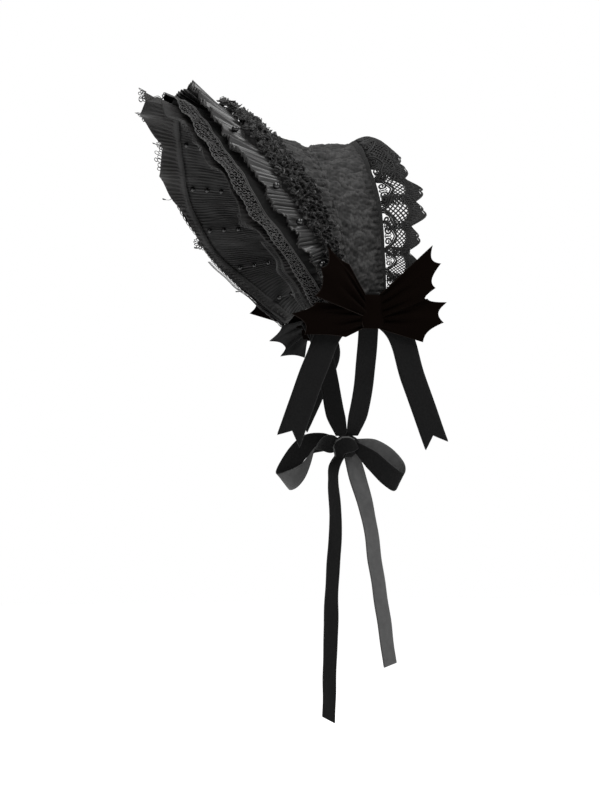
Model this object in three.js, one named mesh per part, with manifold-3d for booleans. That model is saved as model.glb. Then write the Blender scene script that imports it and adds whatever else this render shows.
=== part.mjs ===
// A black half bonnet for an adult's head, tied under the chin.
// A stiff flared brim carries a pleated lining with sewn beads, a sheer frill and lace along its rim, and a
// pleated and a gathered trim on its outside. A patterned crown band joins it to an openwork lace ruffle at
// the nape. A velvet bow with scalloped wings sits over each ear, and a velvet ribbon from each ear is tied
// in a bow below the chin.
// Millimetres, +Z up. The face looks along -Y and the wearer's left is +X. The origin is the point inside
// the crown that sits on top of the head.
import * as THREE from "three";
import { mergeVertices } from "three/addons/utils/BufferGeometryUtils.js";
import Module from "manifold-3d";

const wasm = await Module();
wasm.setup();

// Thicknesses of the cloth walls
const BRIM_WALL = 2.4;
const CROWN_WALL = 1.6;
const THIN_WALL = 1.0;
const RIBBON_WALL = 1.2;
const GAP = 0.4;

// How far the brim and the crown stop short of the waist seam, and the crown of the nape
const SEAM_GAP = 0.5;

// Ribbons
const TIE_WIDTH = 22;
const BOW_TAIL_WIDTH = 28;
const SWALLOWTAIL = 12;

// Beads
const TRIM_BEAD_RADIUS = 4;
const LINING_BEAD_RADIUS = 3;
const THREAD_RADIUS = 0.5;
const BEAD_SIDES = 10;

// How many times each pleat, fold and opening repeats from ear to ear
const FRILL_FOLDS = 18;
const TRIM_PLEATS = 36;
const GATHERS = 22;
const NAPE_FOLDS = 12;
const NAPE_HOLES_A_FOLD = 2;
const NAPE_HOLE_ROWS = 3;

// Sections of the bonnet from the left ear to the top of the head, which the right side mirrors. seam is the
// waist seam of brim and crown, rim the brim's stiff edge, nape the crown's back edge and lace the nape
// ruffle's outer edge.
const LINES = [
  { seam: [74, -11, -168], rim: [62, -36, -186], nape: [76, 26, -168], lace: [80, 58, -172] },
  { seam: [76, -15, -142], rim: [84, -67, -153], nape: [78, 25, -142], lace: [88, 57, -146] },
  { seam: [77, -20, -116], rim: [104, -104, -115], nape: [79, 23, -116], lace: [92, 57, -118] },
  { seam: [76, -27, -90], rim: [100, -128, -84], nape: [78, 21, -90], lace: [92, 61, -90] },
  { seam: [71, -33, -62], rim: [95, -146, -50], nape: [72, 19, -62], lace: [86, 63, -62] },
  { seam: [58, -38, -35], rim: [70, -161, -17], nape: [58, 17, -35], lace: [70, 54, -33] },
  { seam: [33, -41, -9], rim: [38, -176, 23], nape: [33, 16, -8], lace: [41, 56, -13] },
  { seam: [0, -41, 1], rim: [0, -185, 45], nape: [0, 16, 8], lace: [0, 60, -4] },
];

// At the same sections: how far the edge lace stands past the rim on the left and on the right, where the
// pleated trim runs as a share of the brim's width, and how far its free edge stands off the brim.
const DEPTHS = [
  { edge: [8, 6], trim: 0.58, stand: 7 },
  { edge: [8, 5], trim: 0.6, stand: 8 },
  { edge: [7, 4], trim: 0.63, stand: 9 },
  { edge: [12, 3], trim: 0.66, stand: 10 },
  { edge: [13, 10], trim: 0.71, stand: 11 },
  { edge: [13, 12], trim: 0.77, stand: 13 },
  { edge: [13, 13], trim: 0.8, stand: 18 },
  { edge: [13, 13], trim: 0.82, stand: 26 },
];

// How far the frill stands past the rim at its points and hollows. at runs from 0 at the ear to 1 at the top.
const FRILL_EDGE = {
  left: [
    { at: 0, depth: 10 },
    { at: 0.36, depth: 15 },
    { at: 0.7, depth: 13 },
    { at: 0.85, depth: 24 },
    { at: 1, depth: 34 },
  ],
  right: [
    { at: 0, depth: 3 },
    { at: 0.2, depth: 4 },
    { at: 0.4, depth: 1.5 },
    { at: 0.51, depth: 3 },
    { at: 0.67, depth: 21 },
    { at: 0.79, depth: 12 },
    { at: 0.88, depth: 39 },
    { at: 1, depth: 34 },
  ],
};

const fabric = (color, roughness) => new THREE.MeshStandardMaterial({ color, roughness, metalness: 0 });
const MATERIALS = {
  brocade: fabric(0x2b2a2a, 0.75),
  stiffened: fabric(0x1d1d1e, 0.85),
  pleated: fabric(0x1b1b1c, 0.8),
  sheer: fabric(0x262627, 0.6),
  lace: fabric(0x222222, 0.9),
  satin: fabric(0x3a3939, 0.45),
  velvet: fabric(0x100d0d, 0.95),
  ribbon: fabric(0x1a1a1b, 0.9),
  bead: new THREE.MeshStandardMaterial({ color: 0x080808, roughness: 0.08, metalness: 0 }),
};

const bonnet = new THREE.Group();

function add(name, material, geometry) {
  const mesh = new THREE.Mesh(geometry, MATERIALS[material]);
  mesh.name = name;
  bonnet.add(mesh);
}

// Curves

// The smooth line from ear to ear through one column of the sections.
function horseshoe(column) {
  const left = LINES.map((row) => new THREE.Vector3(...row[column]));
  const right = left.slice(0, -1).reverse().map((p) => new THREE.Vector3(-p.x, p.y, p.z));
  return new THREE.CatmullRomCurve3([...left, ...right], false, "catmullrom", 0.5);
}

const seamLine = horseshoe("seam");
const rimLine = horseshoe("rim");
const napeLine = horseshoe("nape");
const laceLine = horseshoe("lace");

// How far up from its nearer ear a place is. u runs from 0 at the left ear to 1 at the right.
const upFromEar = (u) => 1 - Math.abs(2 * u - 1);

// A depth of the sections at u.
function between(u, value) {
  const place = upFromEar(u) * (DEPTHS.length - 1);
  const row = Math.min(Math.floor(place), DEPTHS.length - 2);
  return THREE.MathUtils.lerp(value(DEPTHS[row]), value(DEPTHS[row + 1]), place - row);
}

function frillDepth(u) {
  const rows = FRILL_EDGE[u < 0.5 ? "left" : "right"];
  const at = upFromEar(u);
  const k = rows.findIndex((row) => row.at >= at - 1e-9);
  if (k === 0) return rows[0].depth;
  const share = (at - rows[k - 1].at) / (rows[k].at - rows[k - 1].at);
  return THREE.MathUtils.lerp(rows[k - 1].depth, rows[k].depth, share);
}

const edgeDepth = (u) => between(u, (row) => row.edge[u < 0.5 ? 0 : 1]);
const trimPlace = (u) => between(u, (row) => row.trim);
const trimStand = (u) => between(u, (row) => row.stand);

// How far along a line, as a share of it, its direction is taken from.
const NORMAL_STEP = 0.002;

// A ruled surface between two of the lines: its point at u along and v across, its width, and its
// outward normal. v below 0 or above 1 carries on straight past the lines.
function ruled(fromLine, toLine) {
  const at = (u, v) => fromLine.getPointAt(u).lerp(toLine.getPointAt(u), v);
  return {
    at,
    width: (u) => fromLine.getPointAt(u).distanceTo(toLine.getPointAt(u)),
    normal(u, v) {
      const along = at(Math.min(u + NORMAL_STEP, 1), v).sub(at(Math.max(u - NORMAL_STEP, 0), v));
      const across = at(u, 1).sub(at(u, 0));
      return along.cross(across).normalize();
    },
  };
}

const brimSurface = ruled(seamLine, rimLine);
const crownSurface = ruled(seamLine, napeLine);
const napeSurface = ruled(napeLine, laceLine);

// A point of the brim at a fraction v of its width, raised by lift towards its outside.
function onBrim(u, v, lift) {
  return brimSurface.at(u, v).addScaledVector(brimSurface.normal(u, Math.min(v, 1)), lift);
}

// The same, for a distance in millimetres past the rim.
function pastRim(u, distance, lift) {
  return onBrim(u, 1 + distance / brimSurface.width(u), lift);
}

const wave = (turns) => Math.sin(2 * Math.PI * turns);
const steps = (count, from = 0, to = 1) =>
  Array.from({ length: count + 1 }, (_, i) => from + ((to - from) * i) / count);

// Walls

// A closed wall over a grid of places: outer and inner give its two faces at column i and row j, and
// solid says which cells are there, so that a lace can be cut through.
function wall(columns, rows, outer, inner, solid = () => true) {
  const points = [];
  const faces = [];
  const index = (i, j, side) => 2 * (i * (rows + 1) + j) + side;
  for (let i = 0; i <= columns; i++) {
    for (let j = 0; j <= rows; j++) {
      points.push(...outer(i, j).toArray(), ...inner(i, j).toArray());
    }
  }
  const quad = (a, b, c, d) => faces.push(a, b, c, a, c, d);
  const there = (i, j) => i >= 0 && j >= 0 && i < columns && j < rows && solid(i, j);
  for (let i = 0; i < columns; i++) {
    for (let j = 0; j < rows; j++) {
      if (!there(i, j)) continue;
      const round = [[i, j], [i + 1, j], [i + 1, j + 1], [i, j + 1]];
      const [a0, b0, c0, d0] = round.map(([a, b]) => index(a, b, 0));
      const [a1, b1, c1, d1] = round.map(([a, b]) => index(a, b, 1));
      // Both faces split along the same diagonal, so that a twisted wall keeps its thickness.
      quad(a0, b0, c0, d0);
      quad(a1, d1, c1, b1);
      const beside = [[i, j - 1], [i + 1, j], [i, j + 1], [i - 1, j]];
      beside.forEach(([a, b], k) => {
        if (there(a, b)) return;
        const from = round[k];
        const to = round[(k + 1) % 4];
        quad(index(...from, 1), index(...to, 1), index(...to, 0), index(...from, 0));
      });
    }
  }
  const used = new Map();
  const kept = [];
  const faceIndex = faces.map((old) => {
    if (!used.has(old)) {
      used.set(old, used.size);
      kept.push(points[3 * old], points[3 * old + 1], points[3 * old + 2]);
    }
    return used.get(old);
  });
  const geometry = new THREE.BufferGeometry();
  geometry.setAttribute("position", new THREE.Float32BufferAttribute(kept, 3));
  geometry.setIndex(faceIndex);
  return geometry;
}

// A wall of cloth over a list of us and vs: place(u, v, lift) is its surface, and lift runs from bottom
// to top.
function cloth(us, vs, place, thickness, solid) {
  return wall(
    us.length - 1,
    vs.length - 1,
    (i, j) => place(us[i], vs[j], thickness / 2),
    (i, j) => place(us[i], vs[j], -thickness / 2),
    solid,
  );
}

// The crown: a band of matelassé cloth from the waist seam to the nape
const CROWN_COLUMNS = 24;

add(
  "crown",
  "brocade",
  cloth(
    steps(CROWN_COLUMNS),
    [0, 1],
    (u, v, lift) => {
      const share = SEAM_GAP / crownSurface.width(u);
      const across = THREE.MathUtils.lerp(share, 1 - share, v);
      // The crown runs back from the seam, so its outside is the other side of the ruled surface.
      return crownSurface.at(u, across).addScaledVector(crownSurface.normal(u, across), -lift);
    },
    -CROWN_WALL,
  ),
);

// The brim and what lies along its rim share these columns: the crests and hollows of the frill's folds.
const rimUs = steps(4 * FRILL_FOLDS).filter((_, i) => i === 0 || i % 2 || i === 4 * FRILL_FOLDS);

// The brim: stiffened cloth, flared from the waist seam to the rim
add(
  "brim",
  "stiffened",
  cloth(
    rimUs,
    [0, 1],
    (u, v, lift) => onBrim(u, THREE.MathUtils.lerp(SEAM_GAP / brimSurface.width(u), 1, v), lift),
    BRIM_WALL,
  ),
);

// The lining: knife pleats that run from the seam to just short of the rim
const LINING_EDGE = 8;
const LINING_DEPTH = 1.2;
const LINING_LIFT = -(BRIM_WALL / 2 + GAP + THIN_WALL + LINING_DEPTH);

const liningUs = steps(4 * FRILL_FOLDS);
const liningPleat = (u) => LINING_DEPTH * (Math.round(u * 4 * FRILL_FOLDS) % 2 ? 1 : -1);

add(
  "brim_lining",
  "pleated",
  cloth(
    liningUs,
    [0, 1],
    (u, v, lift) => {
      const width = brimSurface.width(u);
      const across = THREE.MathUtils.lerp(SEAM_GAP / width, 1 - LINING_EDGE / width, v);
      return onBrim(u, across, LINING_LIFT + liningPleat(u) + lift);
    },
    THIN_WALL,
  ),
);

// The frill: sheer cloth gathered under the rim, its folds growing towards its edge
const FRILL_BACK = -6.5;
const FRILL_LIFT = -3.4;
const FOLD_START = 1.5;
const FOLD_HEIGHT = 0.5;
const FOLD_SLOPE = 0.18;

// How far a fold lifts the cloth at a distance past the rim.
function frillFold(u, distance) {
  return wave(u * FRILL_FOLDS) * (FOLD_HEIGHT + FOLD_SLOPE * Math.max(0, distance - FOLD_START));
}

// A row of the frill's cloth at a distance past the rim that may change from ear to ear.
const frillRow = (u, distance, lift) => pastRim(u, distance, FRILL_LIFT + frillFold(u, distance) + lift);

// Where the picot lace is sewn to the frill.
const PICOT_BACK = 6;
const sewnDepth = (u) => Math.max(frillDepth(u) - PICOT_BACK, (frillDepth(u) + FOLD_START) / 2);

add(
  "rim_frill",
  "sheer",
  cloth(
    rimUs,
    [() => FRILL_BACK, () => FOLD_START, sewnDepth, frillDepth],
    (u, depth, lift) => frillRow(u, depth(u), lift),
    THIN_WALL,
  ),
);

// The picot lace: scallops with pointed tips, sewn along the outside of the frill's edge
const PICOT_LIFT = 2;
const PICOT_WALL = 0.8;
const PICOT_SCALLOP = 4.5;
const PICOT_HOLLOW = 0.25;

// The lace's edge: a scallop to each fold, its hollow a share of its height past the frill.
function picotDepth(u) {
  const scallop = Math.abs(wave((u * FRILL_FOLDS) / 2 + 1 / 8));
  return frillDepth(u) + PICOT_SCALLOP * (PICOT_HOLLOW + scallop);
}

add(
  "picot_lace",
  "lace",
  cloth(
    rimUs,
    [sewnDepth, frillDepth, picotDepth],
    (u, depth, lift) => frillRow(u, depth(u), PICOT_LIFT + lift),
    PICOT_WALL,
  ),
);

// The edge lace: heavy guipure lace laid over the outside of the rim, its edge standing past it
const EDGE_LACE_BACK = -9;
const EDGE_LACE_LIFT = BRIM_WALL / 2 + GAP + THIN_WALL + FOLD_HEIGHT;

add(
  "edge_lace",
  "lace",
  cloth(
    rimUs,
    [() => EDGE_LACE_BACK, () => FOLD_START, edgeDepth],
    (u, depth, lift) => pastRim(u, depth(u), EDGE_LACE_LIFT + frillFold(u, depth(u)) + lift),
    THIN_WALL,
  ),
);

// The pleated trim: a pleated satin ribbon tacked down under beads, between which it fans out and its front
// edge stands free. TACKS are places from the left ear to the top, which the right side mirrors.
const TACKS = [0.104, 0.187, 0.262, 0.385, 0.5];
const TRIM_SPAN = 0.34;
const TRIM_TACKED = 0.6;
const TRIM_LIFT = 4.4;
const TRIM_PLEAT_DEPTH = 1.1;

const allTacks = [...TACKS, ...TACKS.slice(0, -1).reverse().map((u) => 1 - u)];

// The share of its full width that the trim has at u: the least at a tack and all of it halfway between.
function trimFan(u) {
  const stops = [0, ...allTacks, 1];
  const k = Math.max(1, stops.findIndex((stop) => stop >= u - 1e-9));
  const halfTurn = (Math.PI * (u - stops[k - 1])) / (stops[k] - stops[k - 1]);
  return THREE.MathUtils.lerp(TRIM_TACKED, 1, Math.sin(halfTurn));
}

add(
  "pleated_trim",
  "satin",
  cloth(
    steps(2 * TRIM_PLEATS),
    [0, 1],
    (u, v, lift) => {
      const pleat = TRIM_PLEAT_DEPTH * (Math.round(u * 2 * TRIM_PLEATS) % 2 ? 1 : -1);
      const across = trimPlace(u) + TRIM_SPAN * trimFan(u) * (v - 0.5);
      const stand = THREE.MathUtils.lerp(TRIM_LIFT, trimStand(u), v * trimFan(u));
      return onBrim(u, across, stand + pleat + lift);
    },
    THIN_WALL,
  ),
);

// The gathered lace: a ruched strip of lace between the seam and the pleated trim. Its back edge lies at a
// share of the brim's width, further forward over the top of the head than by the ears, and its front edge a
// share behind the trim's middle. At each row, stand is how far it rises as a share of the trim's stand, and
// fold the height of its folds.
const GATHER_BACK = { ear: 0.15, top: 0.37, leaves: 0.44, arrives: 0.9 };
const GATHER_FRONT = -0.21;
const GATHER_ROWS = [
  { share: 0, stand: 0, fold: 0.5 },
  { share: 0.5, stand: 0.35, fold: 2 },
  { share: 1, stand: 0.5, fold: 1.4 },
];
const GATHER_LIFT = 3;

function gatherBack(u) {
  const up = THREE.MathUtils.smoothstep(upFromEar(u), GATHER_BACK.leaves, GATHER_BACK.arrives);
  return THREE.MathUtils.lerp(GATHER_BACK.ear, GATHER_BACK.top, up);
}

add(
  "gathered_lace",
  "lace",
  cloth(
    steps(2 * GATHERS),
    GATHER_ROWS,
    (u, row, lift) => {
      const fold = row.fold * (Math.round(u * 2 * GATHERS) % 2 ? 1 : -1);
      const across = THREE.MathUtils.lerp(gatherBack(u), trimPlace(u) + GATHER_FRONT, row.share);
      return onBrim(u, across, GATHER_LIFT + row.stand * trimStand(u) + fold + lift);
    },
    THIN_WALL,
  ),
);

// The nape lace: a gathered ruffle of openwork lace with a scalloped edge
const NAPE_BULGE = { ear: 3, top: 13 };
const NAPE_WAVE = { ear: 4, top: 7 };
const NAPE_SCALLOP = 0.18;
const NAPE_START = 0.005;

// The openings' columns and rows: the solid bar's share of a column, where the first row starts, how high
// each opening is, and where the closed border starts
const NAPE_BAR = 0.42;
const NAPE_FIRST_ROW = 0.16;
const NAPE_OPENING = 0.13;
const NAPE_BORDER = 0.74;

const napeHoles = NAPE_FOLDS * NAPE_HOLES_A_FOLD;
const paired = (places, gap) => places.flatMap((p, i) => (i < places.length - 1 ? [p, p + gap] : [p]));
const napeUs = paired(steps(napeHoles), NAPE_BAR / napeHoles);
const napeVs = [
  NAPE_START,
  ...paired(steps(NAPE_HOLE_ROWS, NAPE_FIRST_ROW, NAPE_BORDER), NAPE_OPENING),
  1,
];

add(
  "nape_lace",
  "lace",
  cloth(
    napeUs,
    napeVs,
    (u, v, lift) => {
      const scallop = v === 1 ? NAPE_SCALLOP * Math.abs(wave((u * napeHoles) / 2)) : 0;
      const outward = napeSurface.normal(u, 0.5);
      const height = Math.sin(Math.PI * u);
      const bulge = THREE.MathUtils.lerp(NAPE_BULGE.ear, NAPE_BULGE.top, height) * 4 * v * (1 - v);
      const fold = THREE.MathUtils.lerp(NAPE_WAVE.ear, NAPE_WAVE.top, height) * v * wave(u * NAPE_FOLDS);
      return napeSurface.at(u, v + scallop).addScaledVector(outward, -(bulge + fold + lift));
    },
    -THIN_WALL,
    (i, j) => !(i % 2 === 1 && j % 2 === 1 && j < 2 * NAPE_HOLE_ROWS),
  ),
);

// Beads

// The outline of one bead on its thread's line, from its top down.
function beadProfile(radius, place, firstAngle, lastAngle) {
  return [firstAngle, 45, 90, 135, lastAngle].map((degrees) => {
    const angle = THREE.MathUtils.degToRad(degrees);
    return new THREE.Vector2(radius * Math.sin(angle), place + radius * Math.cos(angle));
  });
}

// Trim beads: one where each bend of the pleated trim is tacked down
const TRIM_BEAD_GAP = 1.4;

allTacks.forEach((u, k) => {
  const tacked = THREE.MathUtils.lerp(TRIM_LIFT, trimStand(u), TRIM_TACKED / 2);
  const pleatTop = tacked + TRIM_PLEAT_DEPTH + THIN_WALL / 2;
  const place = onBrim(u, trimPlace(u), pleatTop + TRIM_BEAD_GAP + TRIM_BEAD_RADIUS);
  const round = new THREE.LatheGeometry(beadProfile(TRIM_BEAD_RADIUS, 0, 0, 180).reverse(), BEAD_SIDES);
  add(`trim_bead_${k + 1}`, "bead", round.translate(...place.toArray()));
});

// Lining beads: rows of three on one thread, each row along a pleat of the lining
const BEAD_ROWS = 11;
const BEAD_STEP = 16;
const BEAD_FIRST = 15;
const BEAD_LIFT = LINING_LIFT - LINING_DEPTH - THIN_WALL / 2 - GAP - LINING_BEAD_RADIUS;
const THREAD_ANGLE = THREE.MathUtils.radToDeg(Math.asin(THREAD_RADIUS / LINING_BEAD_RADIUS));

const beadRow = [
  ...beadProfile(LINING_BEAD_RADIUS, BEAD_STEP, 0, 180 - THREAD_ANGLE),
  ...beadProfile(LINING_BEAD_RADIUS, 0, THREAD_ANGLE, 180 - THREAD_ANGLE),
  ...beadProfile(LINING_BEAD_RADIUS, -BEAD_STEP, THREAD_ANGLE, 180),
].reverse();

for (let k = 0; k < BEAD_ROWS; k++) {
  const u = (k + 0.5) / BEAD_ROWS;
  const middle = pastRim(u, -BEAD_FIRST - BEAD_STEP, BEAD_LIFT);
  const inwards = pastRim(u, -BEAD_FIRST - 2 * BEAD_STEP, BEAD_LIFT).sub(middle).normalize();
  const turn = new THREE.Quaternion().setFromUnitVectors(new THREE.Vector3(0, 1, 0), inwards);
  const row = new THREE.LatheGeometry(beadRow, BEAD_SIDES).applyQuaternion(turn);
  add(`lining_beads_${k + 1}`, "bead", row.translate(...middle.toArray()));
}

// Bows over the ears

// A closed geometry as a solid that can be cut.
function solidOf(geometry) {
  const bare = new THREE.BufferGeometry();
  bare.setAttribute("position", geometry.getAttribute("position"));
  bare.setIndex(geometry.getIndex());
  const merged = mergeVertices(bare, 1e-4);
  return new wasm.Manifold(
    new wasm.Mesh({
      numProp: 3,
      vertProperties: Float32Array.from(merged.attributes.position.array),
      triVerts: Uint32Array.from(merged.index.array),
    }),
  );
}

// The geometry less what lies inside the tool.
function cut(geometry, tool) {
  const mesh = solidOf(geometry).subtract(solidOf(tool)).getMesh();
  const left = new THREE.BufferGeometry();
  left.setAttribute("position", new THREE.BufferAttribute(mesh.vertProperties, 3));
  left.setIndex(new THREE.BufferAttribute(mesh.triVerts, 1));
  return left;
}

// A place beside a bow's knot: rear of it, above it and out from the head, on the left side or mirrored.
const BOW_CENTRE = { x: 89, y: 8, z: -185 };
const BOW_KNOT = { thickness: 9, width: 29, height: 36, sides: 16 };

function besideKnot(side, [rear, up, out]) {
  return new THREE.Vector3(side * (BOW_CENTRE.x + out), BOW_CENTRE.y + rear, BOW_CENTRE.z + up);
}

// The knot, or with a gap around it the tool that cuts the wings to it.
function bowKnot(side, gap = 0) {
  const knot = new THREE.CylinderGeometry(0.5, 0.5, BOW_KNOT.height + 2 * gap, BOW_KNOT.sides);
  knot.rotateX(Math.PI / 2).scale(BOW_KNOT.thickness + 2 * gap, BOW_KNOT.width + 2 * gap, 1);
  return knot.translate(...besideKnot(side, [0, 0, 0]).toArray());
}

// Each wing is a fan of velvet from its root in the knot to an end cut in scallops between its tips. The
// wings of both bows are alike, but for how the right bow's lower wings hang.
const WINGS = [
  {
    name: "rear_upper",
    root: [[8, 18, 1], [8, -9, 1]],
    tips: [[62, 71, 20], [71, 52, 21], [66, 26, 18], [57, 14, 12]],
  },
  {
    name: "rear_lower",
    root: [[8, 6, -2], [8, -17, -2]],
    tips: [[62, 15, 5], [84, 12, 8], [79, -10, 8], [58, -31, 4]],
  },
  {
    name: "front_upper",
    root: [[-8, 17, 2.5], [-8, -6, 2.5]],
    tips: [[-32, 48, 14], [-57, 65, 20], [-66, 42, 21], [-71, 13, 19]],
  },
  {
    name: "front_lower",
    root: [[-8, 6, -1], [-8, -17, -1]],
    tips: [[-66, 7, 8], [-94, -6, 9], [-79, -27, 7], [-31, -28, 3]],
  },
];
const HANGING_TIPS = {
  front_lower: [[-36, -1, 6], [-51, -19, 8], [-31, -25, 7.5], [-38, -36, 7], [-10, -37, 3]],
  rear_lower: [[52, 26, 5], [78, 23, 8], [74, 8, 8], [54, -2, 4]],
};
const WING_SCALLOP = 0.1;
const WING_PUFF = 4;
const WING_COLUMNS = [0, 0.4, 1];
const ROWS_A_SCALLOP = 3;

// A flat grid's wall, its thickness set along its own normal.
function thickened(grid, thickness) {
  const columns = grid.length - 1;
  const rows = grid[0].length - 1;
  const normal = (i, j) => {
    const along = grid[Math.min(i + 1, columns)][j].clone().sub(grid[Math.max(i - 1, 0)][j]);
    const across = grid[i][Math.min(j + 1, rows)].clone().sub(grid[i][Math.max(j - 1, 0)]);
    return along.cross(across).normalize();
  };
  const face = (half) => (i, j) => grid[i][j].clone().addScaledVector(normal(i, j), half);
  return wall(columns, rows, face(thickness / 2), face(-thickness / 2));
}

function wing(side, root, tips) {
  const grid = WING_COLUMNS.map((u) =>
    steps(ROWS_A_SCALLOP * (tips.length - 1)).map((v) => {
      const place = v * (tips.length - 1);
      const k = Math.min(Math.floor(place), tips.length - 2);
      const hollow = WING_SCALLOP * Math.sin(Math.PI * (place - k));
      const edge = besideKnot(side, tips[k]).lerp(besideKnot(side, tips[k + 1]), place - k);
      const puff = WING_PUFF * Math.sin(Math.PI * u) * Math.sin(Math.PI * v);
      const start = besideKnot(side, root[0]).lerp(besideKnot(side, root[1]), v);
      return start.lerp(edge, u * (1 - hollow)).add(new THREE.Vector3(side * puff, 0, 0));
    }),
  );
  return thickened(grid, RIBBON_WALL);
}

// A ribbon along a path. across gives the direction and the width of it at each point of the path, and the
// far end may be cut in a swallowtail as deep as notch.
function ribbon(path, across, columns, notch = 0) {
  const line = new THREE.CatmullRomCurve3(path, false, "centripetal");
  const turn = new THREE.CatmullRomCurve3(across, false, "centripetal");
  const length = line.getLength();
  const shares = notch ? [-0.5, 0, 0.5] : [-0.5, 0.5];
  const grid = steps(columns).map((u) =>
    shares.map((share) => {
      const t = line.getUtoTmapping(share === 0 ? u * (1 - notch / length) : u);
      return line.getPoint(t).addScaledVector(turn.getPoint(t), share);
    }),
  );
  return thickened(grid, RIBBON_WALL);
}

// Each bow's two tails hang from behind its knot. The right bow's tails hang nearer together.
const BOW_TAILS = {
  left: [
    { name: "front", lean: 28, path: [[-6, -4, -5.6], [-40, -16, -5.6], [-62, -58, -4], [-95, -139, 2]] },
    { name: "rear", lean: -20, path: [[12, -4, -7.4], [33, -20, -7.4], [50, -72, -4], [75, -142, 0]] },
  ],
  right: [
    { name: "front", lean: 22, path: [[-4, -4, -5.6], [8, -29, -5.6], [-2, -66, -4], [-29, -128, 2]] },
    { name: "rear", lean: 20, path: [[12, -6, -7.4], [16, -29, -7.4], [1, -66, -8], [-24, -118, -8]] },
  ],
};
const TAIL_COLUMNS = 6;

for (const [sideName, side] of [["left", 1], ["right", -1]]) {
  add(`${sideName}_bow_knot`, "velvet", bowKnot(side));
  for (const { name, root, tips } of WINGS) {
    const ends = side < 0 && name in HANGING_TIPS ? HANGING_TIPS[name] : tips;
    const geometry = cut(wing(side, root, ends), bowKnot(side, GAP));
    add(`${sideName}_bow_wing_${name}`, "velvet", geometry);
  }
  for (const { name, lean, path } of BOW_TAILS[sideName]) {
    const angle = THREE.MathUtils.degToRad(lean);
    const across = new THREE.Vector3(0, Math.cos(angle), -Math.sin(angle)).multiplyScalar(BOW_TAIL_WIDTH);
    const places = path.map((place) => besideKnot(side, place));
    const geometry = ribbon(places, places.map(() => across), TAIL_COLUMNS, SWALLOWTAIL);
    add(`${sideName}_bow_tail_${name}`, "ribbon", geometry);
  }
}

// Ties: a velvet ribbon from each ear, tied in a bow below the chin

// The tied bow's own frame: r to the rear and left, b out to the wearer's left and front, z up
const TIE_KNOT = new THREE.Vector3(0, 14, -325);
const TIE_KNOT_RADII = { r: 14, b: 10, z: 13 };
const TIE_BOW_TURN = THREE.MathUtils.degToRad(70);

function inTieBow([r, b, z]) {
  return new THREE.Vector3(r, -b, z).applyAxisAngle(new THREE.Vector3(0, 0, 1), TIE_BOW_TURN);
}

// The knot, or with a gap around it the tool that cuts the ribbons to it.
function tieKnot(gap = 0) {
  const { r, b, z } = TIE_KNOT_RADII;
  const knot = new THREE.SphereGeometry(1, 12, 8).rotateX(Math.PI / 2).scale(r + gap, b + gap, z + gap);
  return knot.rotateZ(TIE_BOW_TURN).translate(...TIE_KNOT.toArray());
}

add("tie_knot", "ribbon", tieKnot());

const TIE_PATH = [
  [79.5, 9, -164],
  [79.5, 9, -184],
  [65, 12, -222],
  [43, 14, -259],
  [21, 14, -292],
  [6, 14, -314],
];
// How far the left tie lies to the rear of the middle at each of these, and the right tie before it
const TIE_PARTING = [0, 0, 0, 3, 5, 4];
const TIE_END_SHARE = 0.6;
const TIE_COLUMNS = 12;

for (const [sideName, side] of [["left", 1], ["right", -1]]) {
  const path = TIE_PATH.map(([x, y, z], i) => new THREE.Vector3(side * x, y + side * TIE_PARTING[i], z));
  const across = path.map((_, i) => {
    const share = i < path.length - 1 ? 1 : TIE_END_SHARE;
    return new THREE.Vector3(0, TIE_WIDTH * share, 0);
  });
  add(`${sideName}_tie`, "ribbon", cut(ribbon(path, across, TIE_COLUMNS), tieKnot(GAP)));
}

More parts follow.
